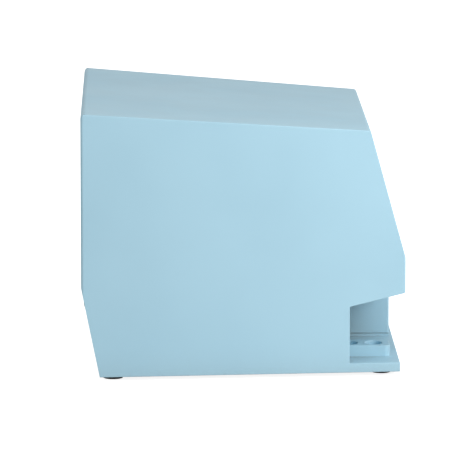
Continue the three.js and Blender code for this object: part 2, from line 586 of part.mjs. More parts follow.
add('coin_chute', coinChute(), metal(STEEL));
add('coin_return_button', returnButton(), metal(STEEL));
add('reject_lever', rejectLever(), metal(GREY));
add('coin_acceptor', coinAcceptor(), paint(DARK));
add('cash_deck', foldedTable([DECK.left, DECK.right], [DECK.back, DECK.front], DECK.top), metal(STEEL));
add('hopper_base', cut(hopperBlock(HOPPER.low, 103), hopperRound(HOPPER.disc, 93, 110),
  hopperRound(6.6, 80, 95, ROUND)), paint(DARK));
add('hopper_disc', hopperDisc(), paint(0xd9a441));
add('hopper_bin', hopperBin(), paint(DARK));
add('hopper_gearmotor', hopperGearmotor(), metal(GREY));
add('cash_box_guide', cashBoxGuide(), metal(STEEL));
add('cash_box', cashBox(), metal(0x9aa0a6));
add('cash_box_front', cashBoxFront(), paint(LIGHT_BLUE));

// ---------------------------------------------------------------- receipt printer

const PRINTER = { left: 97, right: 163, back: 236, front: 301, low: 20, high: 60, wall: 2 };
const PLATEN = { s: 286, z: 42, radius: 7, shaft: 2 };
const ROLL = { s: 190, z: 52, radius: 32, width: 57, core: 6.3, spindle: 5 };
const HOLDER = { left: 94, right: 164, reach: 14 };
const BLADE = { back: 296.4, front: 298.2, low: 41.5, high: 58 };

function printerFrame() {
  const { left, right, back, front, low, high, wall } = PRINTER;
  const body = box([left, right], [back, front], [low, high]);
  const well = box([left + wall, right - wall], [back - 1, front - 8], [low + wall, high + 1]);
  const exit = box([RECEIPT.x - 30, RECEIPT.x + 30], [280, front + 1], [RECEIPT.z - 3, RECEIPT.z + 3]);
  const shaftBore = rod('x', [left - 1, PLATEN.s, PLATEN.z], PLATEN.shaft + GAP, right - left + 2);
  const bladeGuide = box([RECEIPT.x - 29, RECEIPT.x + 29], [296, 298.6], [30, high + 1]);
  return cut(body, well, exit, shaftBore, bladeGuide);
}

function platenRoller() {
  const { left, right, wall } = PRINTER;
  const rubber = rod('x', [left + wall + 0.6, PLATEN.s, PLATEN.z], PLATEN.radius, right - left - 2 * wall - 1.2);
  return unite(rubber, rod('x', [left - 1.5, PLATEN.s, PLATEN.z], PLATEN.shaft, right - left + 3, 16));
}

function rollHolder() {
  const { left, right, reach } = HOLDER;
  const along = [ROLL.s - reach, ROLL.s + reach];
  const plates = [left, right - SHEET].map((x) => box([x, x + SHEET], along, [BASE_TOP + GAP, ROLL.z + 12]));
  return unite(...plates, box([left, right], along, [BASE_TOP + GAP, 16]),
    rod('x', [left + 1, ROLL.s, ROLL.z], ROLL.spindle, right - left - 2));
}

function paperRoll() {
  const left = RECEIPT.x - ROLL.width / 2;
  return cut(rod('x', [left, ROLL.s, ROLL.z], ROLL.radius, ROLL.width, 40),
    rod('x', [left - 1, ROLL.s, ROLL.z], ROLL.core, ROLL.width + 2));
}

add('printer_frame', printerFrame(), paint(DARK));
add('print_head', box([RECEIPT.x - 28, RECEIPT.x + 28], [268, 278.6], [32, 54]), metal(GREY));
add('platen_roller', platenRoller(), paint(0x2b2b2d, 0.9));
add('cutter_blade', box([RECEIPT.x - 28.5, RECEIPT.x + 28.5], [BLADE.back, BLADE.front], [BLADE.low, BLADE.high]),
  metal(STEEL));
add('paper_roll_holder', rollHolder(), metal(STEEL));
add('paper_roll', paperRoll(), paint(0xf4f3ee, 0.9));

// ---------------------------------------------------------------- electronics

const SHELF = { left: -6, right: 169, back: 40, front: 226, top: 94 };
const POST = { radius: 3, height: 7 };
const SUPPLY = { left: 40, right: 152, back: 50, front: 146, top: 56 };

function electronicsShelf() {
  const posts = [[14, 66], [14, 196], [146, 66], [146, 196]]
    .map(([x, s]) => rod('z', [x, s, SHELF.top - 1], POST.radius, POST.height, 12));
  return unite(foldedTable([SHELF.left, SHELF.right], [SHELF.back, SHELF.front], SHELF.top), ...posts);
}

function controllerBoard() {
  const low = SHELF.top + 6.3;
  const board = box([6, 154], [58, 204], [low, low + 1.6]);
  // The larger components, each as its x limits, its s limits and its height.
  const parts = [[[20, 48], [80, 108], 9], [[70, 92], [90, 112], 3], [[60, 110], [140, 150], 12],
    [[20, 50], [150, 190], 5], [[120, 148], [70, 130], 16], [[70, 100], [180, 196], 10]];
  return unite(board, ...parts.map(([x, s, height]) => box(x, s, [low + 1, low + 1.6 + height])));
}

function powerInlet() {
  const { left, right, low, high } = INLET;
  const flangeAt = (z) => backSlope(z) + 0.5;
  const body = box([left + 1, right - 1], [0, 42], [low + 1, high - 1])
    .intersect(sideways([[flangeAt(0), 0], [flangeAt(90), 90], [60, 90], [60, 0]]));
  return cut(body, box([left + 4, right - 4], [-1, 28], [low + 4, high - 4]));
}

function speaker() {
  const front = DEPTH - FACE_INSET - WALL - 0.4;
  return unite(rod('y', [SPEAKER.x, front, SPEAKER.z], SPEAKER.radius, 4, 32),
    rod('y', [SPEAKER.x, front - 3, SPEAKER.z], SPEAKER.magnet, 10));
}

add('electronics_shelf', electronicsShelf(), metal(STEEL));
add('controller_board', controllerBoard(), paint(0x1f6b3a));
add('power_supply', box([SUPPLY.left, SUPPLY.right], [SUPPLY.back, SUPPLY.front], [BASE_TOP + GAP, SUPPLY.top]),
  metal(STEEL));
add('power_inlet', powerInlet(), paint(DARK));
add('speaker', speaker(), paint(DARK));

// ---------------------------------------------------------------- rear service door

const HINGE = { x: -150, s: 2.2, barrel: 2.2, bore: 1.2, pin: 0.9, half: 22, knuckle: 9 };
const HINGE_HEIGHTS = { lower: 135, upper: 215 };
const LOCK = { x: 125, z: 175, body: 9, plug: 5.5 };

const hingeRod = (radius, z0, z1, sides = 16) => rod('z', [HINGE.x, HINGE.s, z0], radius, z1 - z0, sides);

function rearDoor() {
  const [left, right] = [HINGE.x + 2.5, DOOR.right - 1];
  const [low, high] = [DOOR.low + 1, DOOR.high - 1];
  const plate = box([left, right], [0, WALL], [low, high]);
  const rim = cut(box([left + 8, right - 5], [1, 10], [low + 5, high - 5]),
    box([left + 10, right - 7], [0, 12], [low + 7, high - 7]));
  const knuckles = Object.values(HINGE_HEIGHTS).flatMap((z) => [
    hingeRod(HINGE.barrel, z - HINGE.knuckle, z + HINGE.knuckle),
    box([HINGE.x, left + 1], [1.4, WALL], [z - HINGE.knuckle, z + HINGE.knuckle])]);
  const bores = Object.values(HINGE_HEIGHTS).map((z) => hingeRod(HINGE.bore, z - 12, z + 12));
  return cut(unite(plate, rim, ...knuckles), ...bores, rod('y', [LOCK.x, 15, LOCK.z], LOCK.body + GAP, 30));
}

function hingeLeaf(z) {
  const { half } = HINGE;
  const inner = HINGE.knuckle + 0.5;
  const barrels = [[z - half, z - inner], [z + inner, z + half]];
  const knuckles = barrels.flatMap(([z0, z1]) => [hingeRod(HINGE.barrel, z0, z1),
    box([HINGE.x - 6, HINGE.x], [WALL + GAP, HINGE.s + HINGE.barrel], [z0, z1])]);
  const leaf = box([HINGE.x - 20, HINGE.x - 4], [WALL + GAP, 5], [z - half, z + half]);
  return cut(unite(leaf, ...knuckles), hingeRod(HINGE.bore, z - half - 2, z + half + 2));
}

function lockBody() {
  return cut(rod('y', [LOCK.x, 11, LOCK.z], LOCK.body, 10.8, 32),
    rod('y', [LOCK.x, 12, LOCK.z], LOCK.plug + GAP, 13));
}

function lockCam() {
  const plug = rod('y', [LOCK.x, 12, LOCK.z], LOCK.plug, 11.6);
  const cam = upright([[LOCK.x - 6, 11.4], [LOCK.x + 6, 11.4], [LOCK.x + 6, 13.4], [LOCK.x - 6, 13.4]],
    LOCK.z - 32, LOCK.z + 6);
  const keyway = box([LOCK.x - 0.6, LOCK.x + 0.6], [-1, 5], [LOCK.z - 3.6, LOCK.z + 3.6]);
  return cut(unite(plug, cam), keyway);
}

function lockStrike() {
  const [near, far] = [DOOR.right + 1, DOOR.right + 18];
  return unite(box([near, far], [WALL + GAP, 5.3], [LOCK.z - 14, LOCK.z + 14]),
    box([near, near + 3], [WALL + GAP, 10.8], [LOCK.z - 14, LOCK.z + 14]));
}

add('rear_door', rearDoor(), paint(LIGHT_BLUE));
for (const [where, z] of Object.entries(HINGE_HEIGHTS)) {
  add(`hinge_leaf_${where}`, hingeLeaf(z), metal(STEEL));
  add(`hinge_pin_${where}`, hingeRod(HINGE.pin, z - HINGE.half + 0.5, z + HINGE.half - 0.5, 12), metal(STEEL));
}
add('lock_body', lockBody(), metal(STEEL));
add('lock_cam', lockCam(), metal(GREY));
add('lock_strike', lockStrike(), metal(STEEL));

export default station;
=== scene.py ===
"""Looks of a counter-top parking pay station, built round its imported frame.

Laid out as an add-on: property groups hold the sizes and colours that a user would change, one
operator makes each group of pieces, and a panel lists them. Everything is in metres, in the row
frame: the front faces -Y, +X is to the right of a person who stands in front, +Z is up.
"""

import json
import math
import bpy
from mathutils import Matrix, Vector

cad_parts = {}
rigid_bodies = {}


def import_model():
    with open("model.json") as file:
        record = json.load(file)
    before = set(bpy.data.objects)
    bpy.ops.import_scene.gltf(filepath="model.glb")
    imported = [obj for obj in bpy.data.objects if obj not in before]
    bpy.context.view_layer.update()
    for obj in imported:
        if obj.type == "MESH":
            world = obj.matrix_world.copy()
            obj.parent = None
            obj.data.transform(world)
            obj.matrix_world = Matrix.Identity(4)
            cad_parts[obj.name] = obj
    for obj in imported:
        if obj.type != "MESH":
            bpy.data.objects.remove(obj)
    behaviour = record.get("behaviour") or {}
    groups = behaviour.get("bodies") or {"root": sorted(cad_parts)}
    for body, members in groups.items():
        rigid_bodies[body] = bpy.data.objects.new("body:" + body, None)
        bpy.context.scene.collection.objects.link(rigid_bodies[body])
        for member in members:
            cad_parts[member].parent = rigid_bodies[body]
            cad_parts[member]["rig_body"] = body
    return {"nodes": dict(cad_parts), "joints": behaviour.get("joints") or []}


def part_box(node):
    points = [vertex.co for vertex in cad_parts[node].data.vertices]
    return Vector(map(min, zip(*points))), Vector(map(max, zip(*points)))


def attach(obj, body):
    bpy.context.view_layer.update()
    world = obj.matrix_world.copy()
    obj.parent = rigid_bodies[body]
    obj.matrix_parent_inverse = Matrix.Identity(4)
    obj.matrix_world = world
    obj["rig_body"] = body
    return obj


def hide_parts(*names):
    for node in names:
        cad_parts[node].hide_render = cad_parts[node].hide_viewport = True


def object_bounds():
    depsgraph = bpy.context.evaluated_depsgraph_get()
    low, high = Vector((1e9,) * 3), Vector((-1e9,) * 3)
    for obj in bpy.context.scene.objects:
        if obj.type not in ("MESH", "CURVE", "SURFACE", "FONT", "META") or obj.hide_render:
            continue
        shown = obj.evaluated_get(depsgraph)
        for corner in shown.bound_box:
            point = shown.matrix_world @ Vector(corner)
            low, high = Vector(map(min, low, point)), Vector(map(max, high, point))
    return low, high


bl_info = {
    "name": "Parking Pay Station",
    "version": (1, 0, 0),
    "blender": (4, 5, 0),
    "location": "View3D > Sidebar > Pay Station",
    "description": "Builds the looks of a counter-top parking pay station",
    "category": "Object",
}

import bmesh
import bpy
from bpy.props import FloatProperty, FloatVectorProperty, PointerProperty
from mathutils import Matrix, Vector

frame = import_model()
CAD_LOW, CAD_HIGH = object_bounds()

MM = 0.001
SMOOTH_ANGLE = math.radians(32)
BEND_ANGLE = math.radians(24)
# The widest rounding beside a narrow face, as a share of how far that face reaches.
ROOM_FOR_ROUNDING = 0.25
# Thickness of a film of ink or of light on a face, and the gap that keeps two films apart.
INK = 4e-5
LIT_FILM = 1e-4
FILM_GAP = 1e-5

# The panel's own directions: across, up the slope and out of it.
KEY_AXIS = next(j["axis"] for j in frame["joints"] if j["name"] == "menu_key_1_press")
OUT = -Vector(KEY_AXIS).normalized()
ACROSS = Vector((1, 0, 0))
PANEL = Matrix((ACROSS, OUT.cross(ACROSS), OUT)).transposed().to_4x4()
# The foot of the back slopes in by the first length over the height of the second, below the bend.
BACK_SLOPE = (0.018, 0.0795)
BACK_BEND_Z = 0.0925
# Where the front edge of the top face runs.
TOP_FRONT = Vector((0, CAD_HIGH.y - 0.284, 0.244))
SIDES = ((-1, "left"), (1, "right"))
# Directions of an upright face that looks to the front: across, up and out.
FRONT = Matrix(((1, 0, 0), (0, 0, -1), (0, 1, 0))).to_4x4()


# ------------------------------------------------------------------------------------------
# Settings
# ------------------------------------------------------------------------------------------


def colour(name, description, default):
    return FloatVectorProperty(
        name=name, description=description, default=default, subtype="COLOR", min=0, max=1
    )


def length(name, description, default):
    return FloatProperty(name=name, description=description, default=default, unit="LENGTH", min=0)


def share(name, description, default):
    return FloatProperty(
        name=name, description=description, default=default, subtype="FACTOR", min=0, max=1
    )


def number(name, description, default):
    return FloatProperty(name=name, description=description, default=default, min=0)


def angle(name, description, degrees):
    return FloatProperty(
        name=name, description=description, default=math.radians(degrees), subtype="ANGLE"
    )


class StationPaint(bpy.types.PropertyGroup):
    """Powder coat on the cover, the panels and the base."""

    tint: colour("Tint", "Colour of the powder coat", (0.43, 0.675, 0.80))
    shade: colour("Shade", "Colour that the coat drifts to over large areas", (0.41, 0.65, 0.775))
    edge: colour("Edge", "Colour of the rubbed edges", (0.52, 0.75, 0.86))
    roughness: share("Roughness", "How dull the coat is", 0.46)
    grain: length("Grain", "Size of the fine texture of the coat", 0.0009)
    wear: share("Edge Wear", "How strongly the edges are rubbed", 0.22)
    dust: share("Dust", "How much dust lies on faces that look up", 0.12)
    dust_tint: colour("Dust Tint", "Colour of settled dust", (0.50, 0.56, 0.59))
    # Painted shade: the next two settings darken the recesses that light hardly reaches, towards the recess
    # colour.
    painted_shade: share("Painted Shade", "How much the recesses are darkened", 0.92)
    recess: colour("Recess", "Colour of the soiled recesses", (0.262, 0.300, 0.295))


class StationColours(bpy.types.PropertyGroup):
    """Colours of the moulded and the printed parts."""

    tray: colour("Tray", "Moulded coin tray", (0.43, 0.675, 0.80))
    flap: colour("Flap", "Coin return flap", (0.17, 0.27, 0.33))
    dark: colour("Dark Plastic", "Slot surrounds and modules", (0.030, 0.033, 0.037))
    rubber: colour("Rubber", "Feet and gaskets", (0.018, 0.018, 0.020))
    key: colour("Keys", "Menu keys", (0.60, 0.63, 0.66))
    cancel: colour("Cancel", "Cancel key", (0.52, 0.045, 0.035))
    confirm: colour("Confirm", "Confirm key", (0.045, 0.33, 0.11))
    disc: colour("Disc", "Coin disc of the hopper", (0.62, 0.36, 0.07))
    ink: colour("Ink", "Marks printed beside the slots", (0.035, 0.10, 0.16))
    light: colour("Light", "Marks on the coloured keys", (0.85, 0.87, 0.88))


class StationEdges(bpy.types.PropertyGroup):
    """Radii of the softened edges."""

    cover: length("Cover Sides", "Edges between the top and the sides", 0.0013)
    back: length("Cover Back", "Edge between the top and the back", 0.0046)
    front: length("Cover Front", "Front edge of the top", 0.0026)
    rim: length("Cover Rims", "Rims of the cover and its openings", 0.0005)
    panel: length("Panel", "Edges of the painted panels", 0.0007)
    housing: length("Lower Housing", "Edges of the lower housing and the base", 0.0005)
    tray: length("Tray", "Edges of the coin tray", 0.0009)
    fine: length("Fine", "Edges of slot surrounds and small parts", 0.0004)


class StationStage(bpy.types.PropertyGroup):
    """Floor, lights and camera."""

    floor: colour("Floor", "Colour of the floor", (0.60, 0.60, 0.60))
    bright: number("Floor White", "What the floor gains where it is seen", 0.9)
    sky: number("Surround", "Brightness of the surround", 0.64)
    sky_seen: number("Surround White", "What the surround gains where it is seen", 0.5)
    key: FloatProperty(
        name="Key Light", description="Soft light at the front left", default=8.0, unit="POWER"
    )
    key_size: length("Key Size", "Side of the soft light", 0.5)
    lens: number("Lens", "Focal length in millimetres", 398.2)
    distance: length("Distance", "From the camera to its aim point", 5.0797)
    azimuth: angle("Azimuth", "Direction of view, from +X", -1.007)
    elevation: angle("Elevation", "How far the camera looks down", 8.391)
    aim_forward: length("Aim Back", "Aim point, towards the back", 0.01429)
    aim_up: length("Aim Height", "Aim point above the floor", 0.12462)


# ------------------------------------------------------------------------------------------
# Shader node groups
# ------------------------------------------------------------------------------------------


class Tree:
    """A node tree under construction, with short ways to add and join nodes."""

    def __init__(self, tree):
        self.tree = tree

    def node(self, kind, settings=None, **inputs):
        made = self.tree.nodes.new(kind)
        for name, value in (settings or {}).items():
            setattr(made, name, value)
        for name, value in inputs.items():
            self.feed(made.inputs[name.replace("_", " ")], value)
        return made

    def feed(self, socket, value):
        if isinstance(value, bpy.types.NodeSocket):
            self.tree.links.new(value, socket)
        else:
            socket.default_value = value

    def maths(self, operation, a, b=0.0, clamp=False):
        made = self.tree.nodes.new("ShaderNodeMath")
        made.operation = operation
        made.use_clamp = clamp
        self.feed(made.inputs[0], a)
        self.feed(made.inputs[1], b)
        return made.outputs[0]

    def noise(self, scale, detail, vector, roughness=0.5):
        made = self.node(
            "ShaderNodeTexNoise", Scale=scale, Detail=detail, Roughness=roughness, Vector=vector
        )
        return made.outputs["Fac"]

    def ramp(self, value, low, high):
        made = self.node("ShaderNodeMapRange", {"interpolation_type": "SMOOTHSTEP"}, Value=value)
        self.feed(made.inputs["From Min"], low)
        self.feed(made.inputs["From Max"], high)
        return made.outputs["Result"]

    def mix(self, share_socket, a, b):
        made = self.node("ShaderNodeMix", {"data_type": "RGBA", "clamp_factor": True})
        self.feed(made.inputs["Factor"], share_socket)
        for socket, value in ((made.inputs[6], a), (made.inputs[7], b)):
            self.feed(socket, value if isinstance(value, bpy.types.NodeSocket) else (*value, 1.0))
        return made.outputs[2]


def group(name, inputs, outputs, fill):
    """A shader node group, made once; fill(tree, group input, group output) joins its nodes."""
    if name in bpy.data.node_groups:
        return bpy.data.node_groups[name]
    made = bpy.data.node_groups.new(name, "ShaderNodeTree")
    for label, default in inputs.items():
        kind = "NodeSocketVector" if isinstance(default, tuple) else "NodeSocketFloat"
        socket = made.interface.new_socket(label, in_out="INPUT", socket_type=kind)
        socket.default_value = default
    for label in outputs:
        made.interface.new_socket(label, in_out="OUTPUT", socket_type="NodeSocketFloat")
    tree = Tree(made)
    fill(tree, tree.node("NodeGroupInput").outputs, tree.node("NodeGroupOutput").inputs)
    return made


def place_of(tree):
    return tree.node("ShaderNodeTexCoord").outputs["Object"]


def fine_grain():
    """Fine surface texture: a height for bump, and a slow drift of tone."""

    def fill(tree, given, out):
        here = place_of(tree)
        fineness = tree.maths("DIVIDE", 1.0, given["Size"])
        fine = tree.noise(fineness, 2.0, here)
        coarse = tree.noise(tree.maths("MULTIPLY", fineness, 0.31), 1.0, here)
        both = tree.maths("ADD", tree.maths("MULTIPLY", fine, 0.7), tree.maths("MULTIPLY", coarse, 0.3))
        tree.feed(out["Height"], both)
        tree.feed(out["Tone"], tree.ramp(tree.noise(given["Drift"], 2.0, here), 0.35, 0.65))

    return group("Fine Grain", {"Size": 0.001, "Drift": 9.0}, ["Height", "Tone"], fill)


def edge_wear():
    """A mask of the convex and concave edges, broken up by noise."""

    def fill(tree, given, out):
        rounded = tree.node("ShaderNodeBevel", {"samples": 4}, Radius=given["Radius"]).outputs[0]
        flat = tree.node("ShaderNodeNewGeometry").outputs["Normal"]
        turn = tree.node("ShaderNodeVectorMath", {"operation": "DOT_PRODUCT"})
        tree.feed(turn.inputs[0], rounded)
        tree.feed(turn.inputs[1], flat)
        bend = tree.maths("SUBTRACT", 1.0, turn.outputs["Value"])
        edge = tree.ramp(bend, 0.01, 0.16)
        broken = tree.ramp(tree.noise(given["Breakup"], 3.0, place_of(tree)), 0.30, 0.62)
        patchy = tree.maths("MULTIPLY", edge, broken)
        tree.feed(out["Mask"], tree.maths("MULTIPLY", patchy, given["Amount"], True))

    return group("Edge Wear", {"Radius": 0.001, "Amount": 0.5, "Breakup": 140.0}, ["Mask"], fill)


def dust_film():
    """A mask of the faces that look up, uneven as settled dust is."""

    def fill(tree, given, out):
        normal = tree.node("ShaderNodeNewGeometry").outputs["Normal"]
        up = tree.node("ShaderNodeSeparateXYZ", Vector=normal).outputs["Z"]
        lying = tree.ramp(up, 0.55, 0.98)
        uneven = tree.ramp(tree.noise(24.0, 4.0, place_of(tree), 0.62), 0.25, 0.75)
        patchy = tree.maths("MULTIPLY", lying, uneven)
        tree.feed(out["Mask"], tree.maths("MULTIPLY", patchy, given["Amount"], True))

    return group("Dust Film", {"Amount": 0.2}, ["Mask"], fill)


def painted_recess_shade():
    """A mask of painted shade: the recesses that light hardly reaches, found by ambient occlusion."""

    def fill(tree, given, out):
        around = tree.node("ShaderNodeAmbientOcclusion", {"samples": 6}, Distance=given["Reach"])
        closed = tree.maths("SUBTRACT", 1.0, around.outputs["AO"])
        deep = tree.ramp(closed, 0.40, 0.92)
        tree.feed(out["Mask"], tree.maths("MULTIPLY", deep, given["Amount"], True))

    return group("Painted Recess Shade", {"Reach": 0.07, "Amount": 0.6}, ["Mask"], fill)


def brushed_lines():
    """Fine lines along one axis, for rolled and brushed metal."""

    def fill(tree, given, out):
        stretched = tree.node("ShaderNodeVectorMath", {"operation": "MULTIPLY"})
        tree.feed(stretched.inputs[0], place_of(tree))
        tree.feed(stretched.inputs[1], given["Density"])
        lines = tree.noise(1.0, 3.0, stretched.outputs[0])
        tree.feed(out["Height"], lines)
        tree.feed(out["Tone"], tree.ramp(lines, 0.3, 0.7))

    return group("Brushed Lines", {"Density": (90.0, 3000.0, 3000.0)}, ["Height", "Tone"], fill)


# ------------------------------------------------------------------------------------------
# Materials
# ------------------------------------------------------------------------------------------


class Finish(Tree):
    """A material under construction round its Principled shader."""

    def __init__(self, name, **sockets):
        self.material = bpy.data.materials.new(name)
        self.material.use_nodes = True
        super().__init__(self.material.node_tree)
        self.shader = self.tree.nodes["Principled BSDF"]
        for socket, value in sockets.items():
            self.feed(self.shader.inputs[socket.replace("_", " ")], value)

    def put(self, socket, value):
        self.feed(self.shader.inputs[socket], value)

    def place(self, built, **inputs):
        made = self.node("ShaderNodeGroup", {"node_tree": built})
        for name, value in inputs.items():
            self.feed(made.inputs[name], value)
        return made.outputs

    def bump(self, height, depth, strength):
        made = self.node("ShaderNodeBump", Height=height, Distance=depth, Strength=strength)
        self.put("Normal", made.outputs[0])


def cached(make):
    """Makes a material on its first use and returns the same one afterwards."""
    made = {}

    def get(*args):
        if args not in made:
            made[args] = make(*args)
        return made[args]

    return get


@cached
def cover_paint():
    look = bpy.context.scene.station_paint
    finish = Finish("cover_paint", IOR=1.5, Specular_IOR_Level=0.36)
    grain = finish.place(fine_grain(), Size=look.grain, Drift=7.0)
    worn = finish.place(edge_wear(), Radius=0.0011, Amount=look.wear, Breakup=160.0)["Mask"]
    dust = finish.place(dust_film(), Amount=look.dust)["Mask"]
    # Painted shade: recesses that light hardly reaches are darkened towards the recess colour.
    painted_shade = finish.place(painted_recess_shade(), Reach=0.07, Amount=look.painted_shade)["Mask"]
    base = finish.mix(painted_shade, finish.mix(grain["Tone"], look.tint, look.shade), look.recess)
    rubbed = finish.mix(worn, base, look.edge)
    finish.put("Base Color", finish.mix(dust, rubbed, look.dust_tint))
    rough = finish.maths("ADD", look.roughness - 0.03, finish.maths("MULTIPLY", grain["Tone"], 0.06))
    finish.put("Roughness", finish.maths("ADD", rough, finish.maths("MULTIPLY", dust, 0.3)))
    finish.bump(grain["Height"], 0.00006, 0.35)
    return finish.material


@cached
def moulded(name, roughness=0.42):
    """Moulded plastic in one of the station's colours, with its spark-eroded texture."""
    tint = Vector(getattr(bpy.context.scene.station_colours, name))
    finish = Finish(f"{name}_plastic", IOR=1.47, Specular_IOR_Level=0.45)
    grain = finish.place(fine_grain(), Size=0.0005, Drift=26.0)
    worn = finish.place(edge_wear(), Radius=0.0005, Amount=0.3, Breakup=420.0)["Mask"]
    base = finish.mix(grain["Tone"], tint, tint * 0.93)
    finish.put("Base Color", finish.mix(worn, base, tint * 0.8 + Vector((0.07, 0.07, 0.07))))
    finish.put("Roughness", finish.maths("ADD", roughness, finish.maths("MULTIPLY", grain["Tone"], 0.07)))
    finish.bump(grain["Height"], 0.00005, 0.5)
    return finish.material


@cached
def rubber():
    finish = Finish("rubber", Specular_IOR_Level=0.3)
    grain = finish.place(fine_grain(), Size=0.0007, Drift=60.0)
    dust = finish.place(dust_film(), Amount=0.5)["Mask"]
    tint = Vector(bpy.context.scene.station_colours.rubber)
    base = finish.mix(grain["Tone"], tint, tint * 1.7)
    finish.put("Base Color", finish.mix(dust, base, (0.11, 0.11, 0.10)))
    finish.put("Roughness", finish.maths("ADD", 0.72, finish.maths("MULTIPLY", grain["Tone"], 0.12)))
    finish.bump(grain["Height"], 0.00010, 0.6)
    return finish.material


@cached
def steel(name, tint, roughness, density):
    """Rolled, brushed or plated metal with lines along one axis."""
    finish = Finish(name, Metallic=1.0)
    lines = finish.place(brushed_lines(), Density=density)
    worn = finish.place(edge_wear(), Radius=0.0006, Amount=0.5, Breakup=300.0)["Mask"]
    base = finish.mix(lines["Tone"], tint, [c * 0.82 for c in tint])
    finish.put("Base Color", finish.mix(worn, base, [min(1.0, c * 1.25) for c in tint]))
    finish.put("Roughness", finish.maths("ADD", roughness, finish.maths("MULTIPLY", lines["Tone"], 0.12)))
    finish.bump(lines["Height"], 0.00002, 0.4)
    return finish.material


def sheet_steel():
    return steel("sheet_steel", (0.55, 0.56, 0.57), 0.34, (260.0, 700.0, 700.0))


def bright_steel():
    return steel("bright_steel", (0.63, 0.63, 0.62), 0.22, (120.0, 3600.0, 3600.0))


def cast_metal():
    return steel("cast_metal", (0.36, 0.37, 0.39), 0.48, (900.0, 900.0, 900.0))


@cached
def gloss_black():
    finish = Finish("gloss_black", Base_Color=(0.010, 0.011, 0.013, 1), Specular_IOR_Level=0.5, Coat_IOR=1.5)
    smear = finish.place(fine_grain(), Size=0.018, Drift=30.0)
    finish.put("Roughness", finish.maths("ADD", 0.07, finish.maths("MULTIPLY", smear["Tone"], 0.09)))
    finish.put("Coat Weight", finish.maths("MULTIPLY", smear["Tone"], 0.35))
    finish.bump(smear["Height"], 0.00002, 0.15)
    return finish.material


@cached
def clear_glass():
    finish = Finish("clear_glass", Base_Color=(0.93, 0.96, 0.97, 1), IOR=1.45, Transmission_Weight=1.0)
    smear = finish.place(fine_grain(), Size=0.016, Drift=22.0)
    finish.put("Roughness", finish.maths("ADD", 0.015, finish.maths("MULTIPLY", smear["Tone"], 0.05)))
    finish.bump(smear["Height"], 0.00001, 0.1)
    return finish.material


@cached
def lit(name, tint, strength):
    """A lit part of the screen or a lamp, with the faint grid of its cells."""
    finish = Finish(name, Roughness=0.5, Emission_Strength=strength)
    cells = finish.node("ShaderNodeTexVoronoi", {"feature": "F1"}, Scale=2600.0)
    finish.feed(cells.inputs["Vector"], place_of(finish))
    soft = finish.ramp(cells.outputs["Distance"], 0.2, 0.9)
    finish.put("Emission Color", finish.mix(soft, tint, [c * 0.82 for c in tint]))
    finish.put("Base Color", finish.mix(soft, [c * 0.5 for c in tint], [c * 0.35 for c in tint]))
    return finish.material


@cached
def printed(name):
    """Screen-printed ink, a little uneven at its edge and slightly raised."""
    tint = Vector(getattr(bpy.context.scene.station_colours, name))
    finish = Finish(f"{name}_print", Specular_IOR_Level=0.4)
    grain = finish.place(fine_grain(), Size=0.0004, Drift=90.0)
    finish.put("Base Color", finish.mix(grain["Tone"], tint, tint * 0.85))
    finish.put("Roughness", finish.maths("ADD", 0.5, finish.maths("MULTIPLY", grain["Height"], 0.2)))
    finish.bump(grain["Height"], 0.00002, 0.4)
    return finish.material


@cached
def circuit_board():
    finish = Finish("circuit_board", Specular_IOR_Level=0.5)
    here = place_of(finish)
    tracks = finish.node("ShaderNodeTexBrick", Scale=130.0)
    finish.feed(tracks.inputs["Vector"], here)
    tracks.inputs["Color1"].default_value = (0.012, 0.10, 0.035, 1)
    tracks.inputs["Color2"].default_value = (0.014, 0.13, 0.045, 1)
    tracks.inputs["Mortar"].default_value = (0.03, 0.21, 0.08, 1)
    grain = finish.place(fine_grain(), Size=0.002, Drift=50.0)
    finish.put("Base Color", finish.mix(grain["Tone"], tracks.outputs["Color"], (0.010, 0.085, 0.03)))
    finish.put("Roughness", finish.maths("ADD", 0.26, finish.maths("MULTIPLY", grain["Tone"], 0.1)))
    finish.bump(tracks.outputs["Fac"], 0.00005, 0.4)
    return finish.material


@cached
def roll_paper():
    """Thermal paper, with the rings of the wound roll."""
    finish = Finish("roll_paper", Specular_IOR_Level=0.2)
    low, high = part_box("paper_roll")
    shifted = finish.node("ShaderNodeVectorMath", {"operation": "SUBTRACT"})
    finish.feed(shifted.inputs[0], place_of(finish))
    finish.feed(shifted.inputs[1], tuple((low + high) / 2))
    flat = finish.node("ShaderNodeVectorMath", {"operation": "MULTIPLY"})
    finish.feed(flat.inputs[0], shifted.outputs[0])
    finish.feed(flat.inputs[1], (0.0, 1.0, 1.0))
    radius = finish.node("ShaderNodeVectorMath", {"operation": "LENGTH"})
    finish.feed(radius.inputs[0], flat.outputs[0])
    wound = finish.maths("SINE", finish.maths("MULTIPLY", radius.outputs["Value"], 9000.0))
    grain = finish.place(fine_grain(), Size=0.0008, Drift=40.0)
    layers = finish.ramp(wound, -1.0, 1.0)
    finish.put("Base Color", finish.mix(layers, (0.83, 0.82, 0.77), (0.77, 0.76, 0.71)))
    finish.put("Roughness", finish.maths("ADD", 0.75, finish.maths("MULTIPLY", grain["Tone"], 0.1)))
    finish.bump(wound, 0.00004, 0.4)
    return finish.material


# ------------------------------------------------------------------------------------------
# Mesh helpers
# ------------------------------------------------------------------------------------------


def quarter_turn(steps):
    """Angles from nothing to a right angle, in equal steps."""
    return [k / steps * math.pi / 2 for k in range(steps + 1)]


def rounded_outline(width, height, radius, steps=8):
    """Corner points of a rounded rectangle round the origin, counter-clockwise."""
    radius = min(radius, width / 2 - 1e-6, height / 2 - 1e-6)
    points = []
    for quarter in range(4):
        sx = 1 if quarter in (0, 3) else -1
        sy = 1 if quarter in (0, 1) else -1
        centre = Vector((sx * (width / 2 - radius), sy * (height / 2 - radius)))
        for turn in quarter_turn(steps):
            turn += quarter * math.pi / 2
            points.append(centre + radius * Vector((math.cos(turn), math.sin(turn))))
    return points


def rounded_pairs(width, height, radius):
    return [tuple(p) for p in rounded_outline(width, height, radius)]


